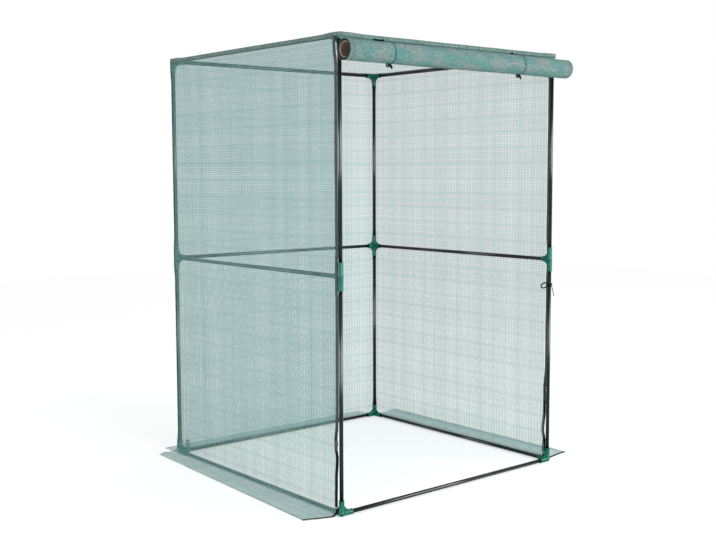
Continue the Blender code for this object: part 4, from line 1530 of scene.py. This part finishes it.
def on_circle(centre, radius, angle, side, other):
    """The point of a circle at an angle, which turns from one direction to the other."""
    return centre + (side * math.cos(angle) + other * math.sin(angle)) * radius


def knot_path(centre, axis, radius):
    """A short coil round an axis, which reads as a knot."""
    side = axis.orthogonal().normalized()
    other = axis.cross(side)
    count = int(knot_turns * turn_steps)
    points = []
    for number in range(count + 1):
        angle = 2 * math.pi * number / turn_steps
        along = axis * ((number / count - 0.5) * knot_rise)
        points.append(on_circle(centre, radius, angle, side, other) + along)
    return points


def oval(root, out, rise, length, height):
    """A closed loop that starts and ends in its root."""
    points = []
    for number in range(oval_steps + 1):
        angle = 2 * math.pi * number / oval_steps
        reach = out * ((1 - math.cos(angle)) * length / 2)
        points.append(root + reach + Vector(rise) * (math.sin(angle) * height / 2))
    return points


# %% Ties round the roll
tight_radius = 0.0013
bow_radius = 0.0027
knot_radius = 0.0030
foot_knot_radius = 0.0034
wrap_radius = roll_radius + 0.0016
tie_inset = 0.0244
lean_size = 0.0015
foot_drop = 0.0024
# In degrees round the roll: where a run of cord starts, and the step between its points.
front_start, front_step = 98, 19.2
back_start, back_step = 270, 18
header_low = box_of("header_net")[0]
for side, lead in (("left", 0.046), ("right", 0.010)):
    name = f"door_tie_{side}"
    x = box_of(name)[1].x - tie_inset
    centre = Vector((x, roll_axis.y, roll_axis.z))
    head = Vector((x, header_low.y - 0.0043, header_low.z + 0.0168))
    foot = centre - z_way * (wrap_radius + foot_drop)
    wrap = [head]
    for step in range(10):
        lean = x_way * (lean_size * math.sin(step * 1.3))
        angle = math.radians(front_start + step * front_step)
        wrap.append(on_circle(centre + lean, wrap_radius, angle, y_way, z_way))
    behind = [foot]
    for step in range(1, 6):
        angle = math.radians(back_start + step * back_step)
        behind.append(on_circle(centre, wrap_radius, angle, y_way, z_way))
    behind.append(Vector((x, roll_axis.y + wrap_radius, header_low.z - 0.002)))
    data = cord_mesh(f"{name}_tight_cord", [wrap, behind], tight_radius)
    tight = make_piece(f"{name}_tight_cord", data, tight_cord, "tie_cord", "frame")
    lead_steps = ((0, 0, 0), (-lead * 0.4, 0.0006, -0.0008), (-lead, 0.0008, 0.0004))
    paths = [
        [head + Vector(step) for step in lead_steps],
        knot_path(head, z_way, knot_radius),
        knot_path(foot, x_way, foot_knot_radius),
    ]
    for sign in (-1, 1):
        droop = Vector((sign, 0.15 * sign, -0.30 - 0.15 * sign)).normalized()
        paths.append(oval(foot, droop, (0, 0.2, 1), 0.018, 0.010))
        tail_end = foot + Vector((sign * 0.010, -0.003 * sign, -0.011 - 0.003 * sign))
        paths.append([foot, foot + Vector((sign * 0.005, 0, -0.004)), tail_end])
    data = cord_mesh(f"{name}_bow", paths, bow_radius)
    bow = make_piece(f"{name}_bow", data, cord_cloth, "tie_cord", "frame", (name,))
    for piece in (tight, bow):
        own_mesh(piece)

# %% Post tie
post_cord_radius = 0.0029
post_spot = Vector((right_x, front_y, mid_height - 0.114))
ring_radius = tube_radius + 0.0019
ring_rise = 0.0034
ring = []
for number in range(2 * turn_steps + 1):
    turns = number / turn_steps
    spot = on_circle(post_spot, ring_radius, 2 * math.pi * turns, x_way, y_way)
    ring.append(spot + z_way * (ring_rise * (turns - 1)))
bow_out = Vector((-1, 0.10, -0.06)).normalized()
post_knot = post_spot + bow_out * (ring_radius + 0.002)
post_paths = [
    ring,
    knot_path(post_knot, z_way, knot_radius),
    oval(post_knot, bow_out, (0.1, -0.1, 1), 0.038, 0.022),
]
data = cord_mesh("post_tie_cord", post_paths, post_cord_radius)
make_piece("post_tie_cord", data, cord_cloth, "tie_cord", "frame", ("post_tie",))

# %% Ribbon of the post tie
ribbon_cloth = tape_material(
    "tie ribbon",
    color=(0.300, 0.380, 0.365),
    deep=(0.190, 0.270, 0.255),
    rib=0.0009,
    stitch_color=(0.4, 0.45, 0.44),
    rows=(),
)
ribbon_thickness = 0.0006
ribbon_across = Vector((0.77, -0.64, 0.25)).normalized() * 0.0042
ribbon_points = [
    post_spot + Vector((ring_radius + x, -0.001 + y, z))
    for x, y, z in (
        (0, 0, 0),
        (0.005, -0.0015, -0.012),
        (0.011, -0.0025, -0.031),
        (0.018, -0.002, -0.055),
    )
]


def ribbon_place(a, b):
    spot = b * (len(ribbon_points) - 1)
    number = min(int(spot), len(ribbon_points) - 2)
    point = ribbon_points[number].lerp(ribbon_points[number + 1], spot - number)
    return point + ribbon_across * (a - 0.5)


def ribbon_lay(a, b):
    return (b * 0.05, a * 0.004)


data = bent_grid("post_tie_ribbon", 2, 18, ribbon_place, ribbon_lay, (-0.6, -0.8, 0))
piece = make_piece("post_tie_ribbon", data, ribbon_cloth, "tie_cord", "frame")
thicken(piece, ribbon_thickness)

# %% Corner loops
for name, radius in (("corner_loop_front_right", 0.0017), ("corner_loop_back_left", 0.0025)):
    low, high = box_of(name)
    if "front" in name:
        y, x_top, x_far = front_y, high.x - radius, low.x + radius
        path = (
            (x_top - 0.001, high.z - radius),
            (x_top - 0.010, high.z - 0.010),
            (x_far, high.z - 0.036),
            (x_far - 0.001, low.z + 0.040),
            (x_far + 0.005, low.z + 0.016),
            (x_far + 0.008, low.z + radius),
        )
    else:
        y = back_y
        path = (
            (low.x + 0.003, low.z + radius),
            (low.x + 0.001, low.z + 0.018),
            (low.x + 0.003, high.z - 0.006),
            (low.x + 0.007, high.z - radius),
            (high.x - 0.003, high.z - 0.007),
            (high.x - 0.002, low.z + 0.018),
            (high.x - 0.003, low.z + radius),
        )
    data = cord_mesh(f"{name}_cord", [[Vector((x, y, z)) for x, z in path]], radius)
    make_piece(f"{name}_cord", data, cord_cloth, "tie_cord", "frame", (name,))
print("post tie with its ribbon, and corner loops")

# %% [markdown]
# ## Size of the dressed cage
#
# The dressed cage must stay inside the box of the working model, apart from a few
# millimetres of cloth. Its own box is printed.

# %% Finish
low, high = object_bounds()
print("visual box", [round(value, 4) for value in (*low, *high)])
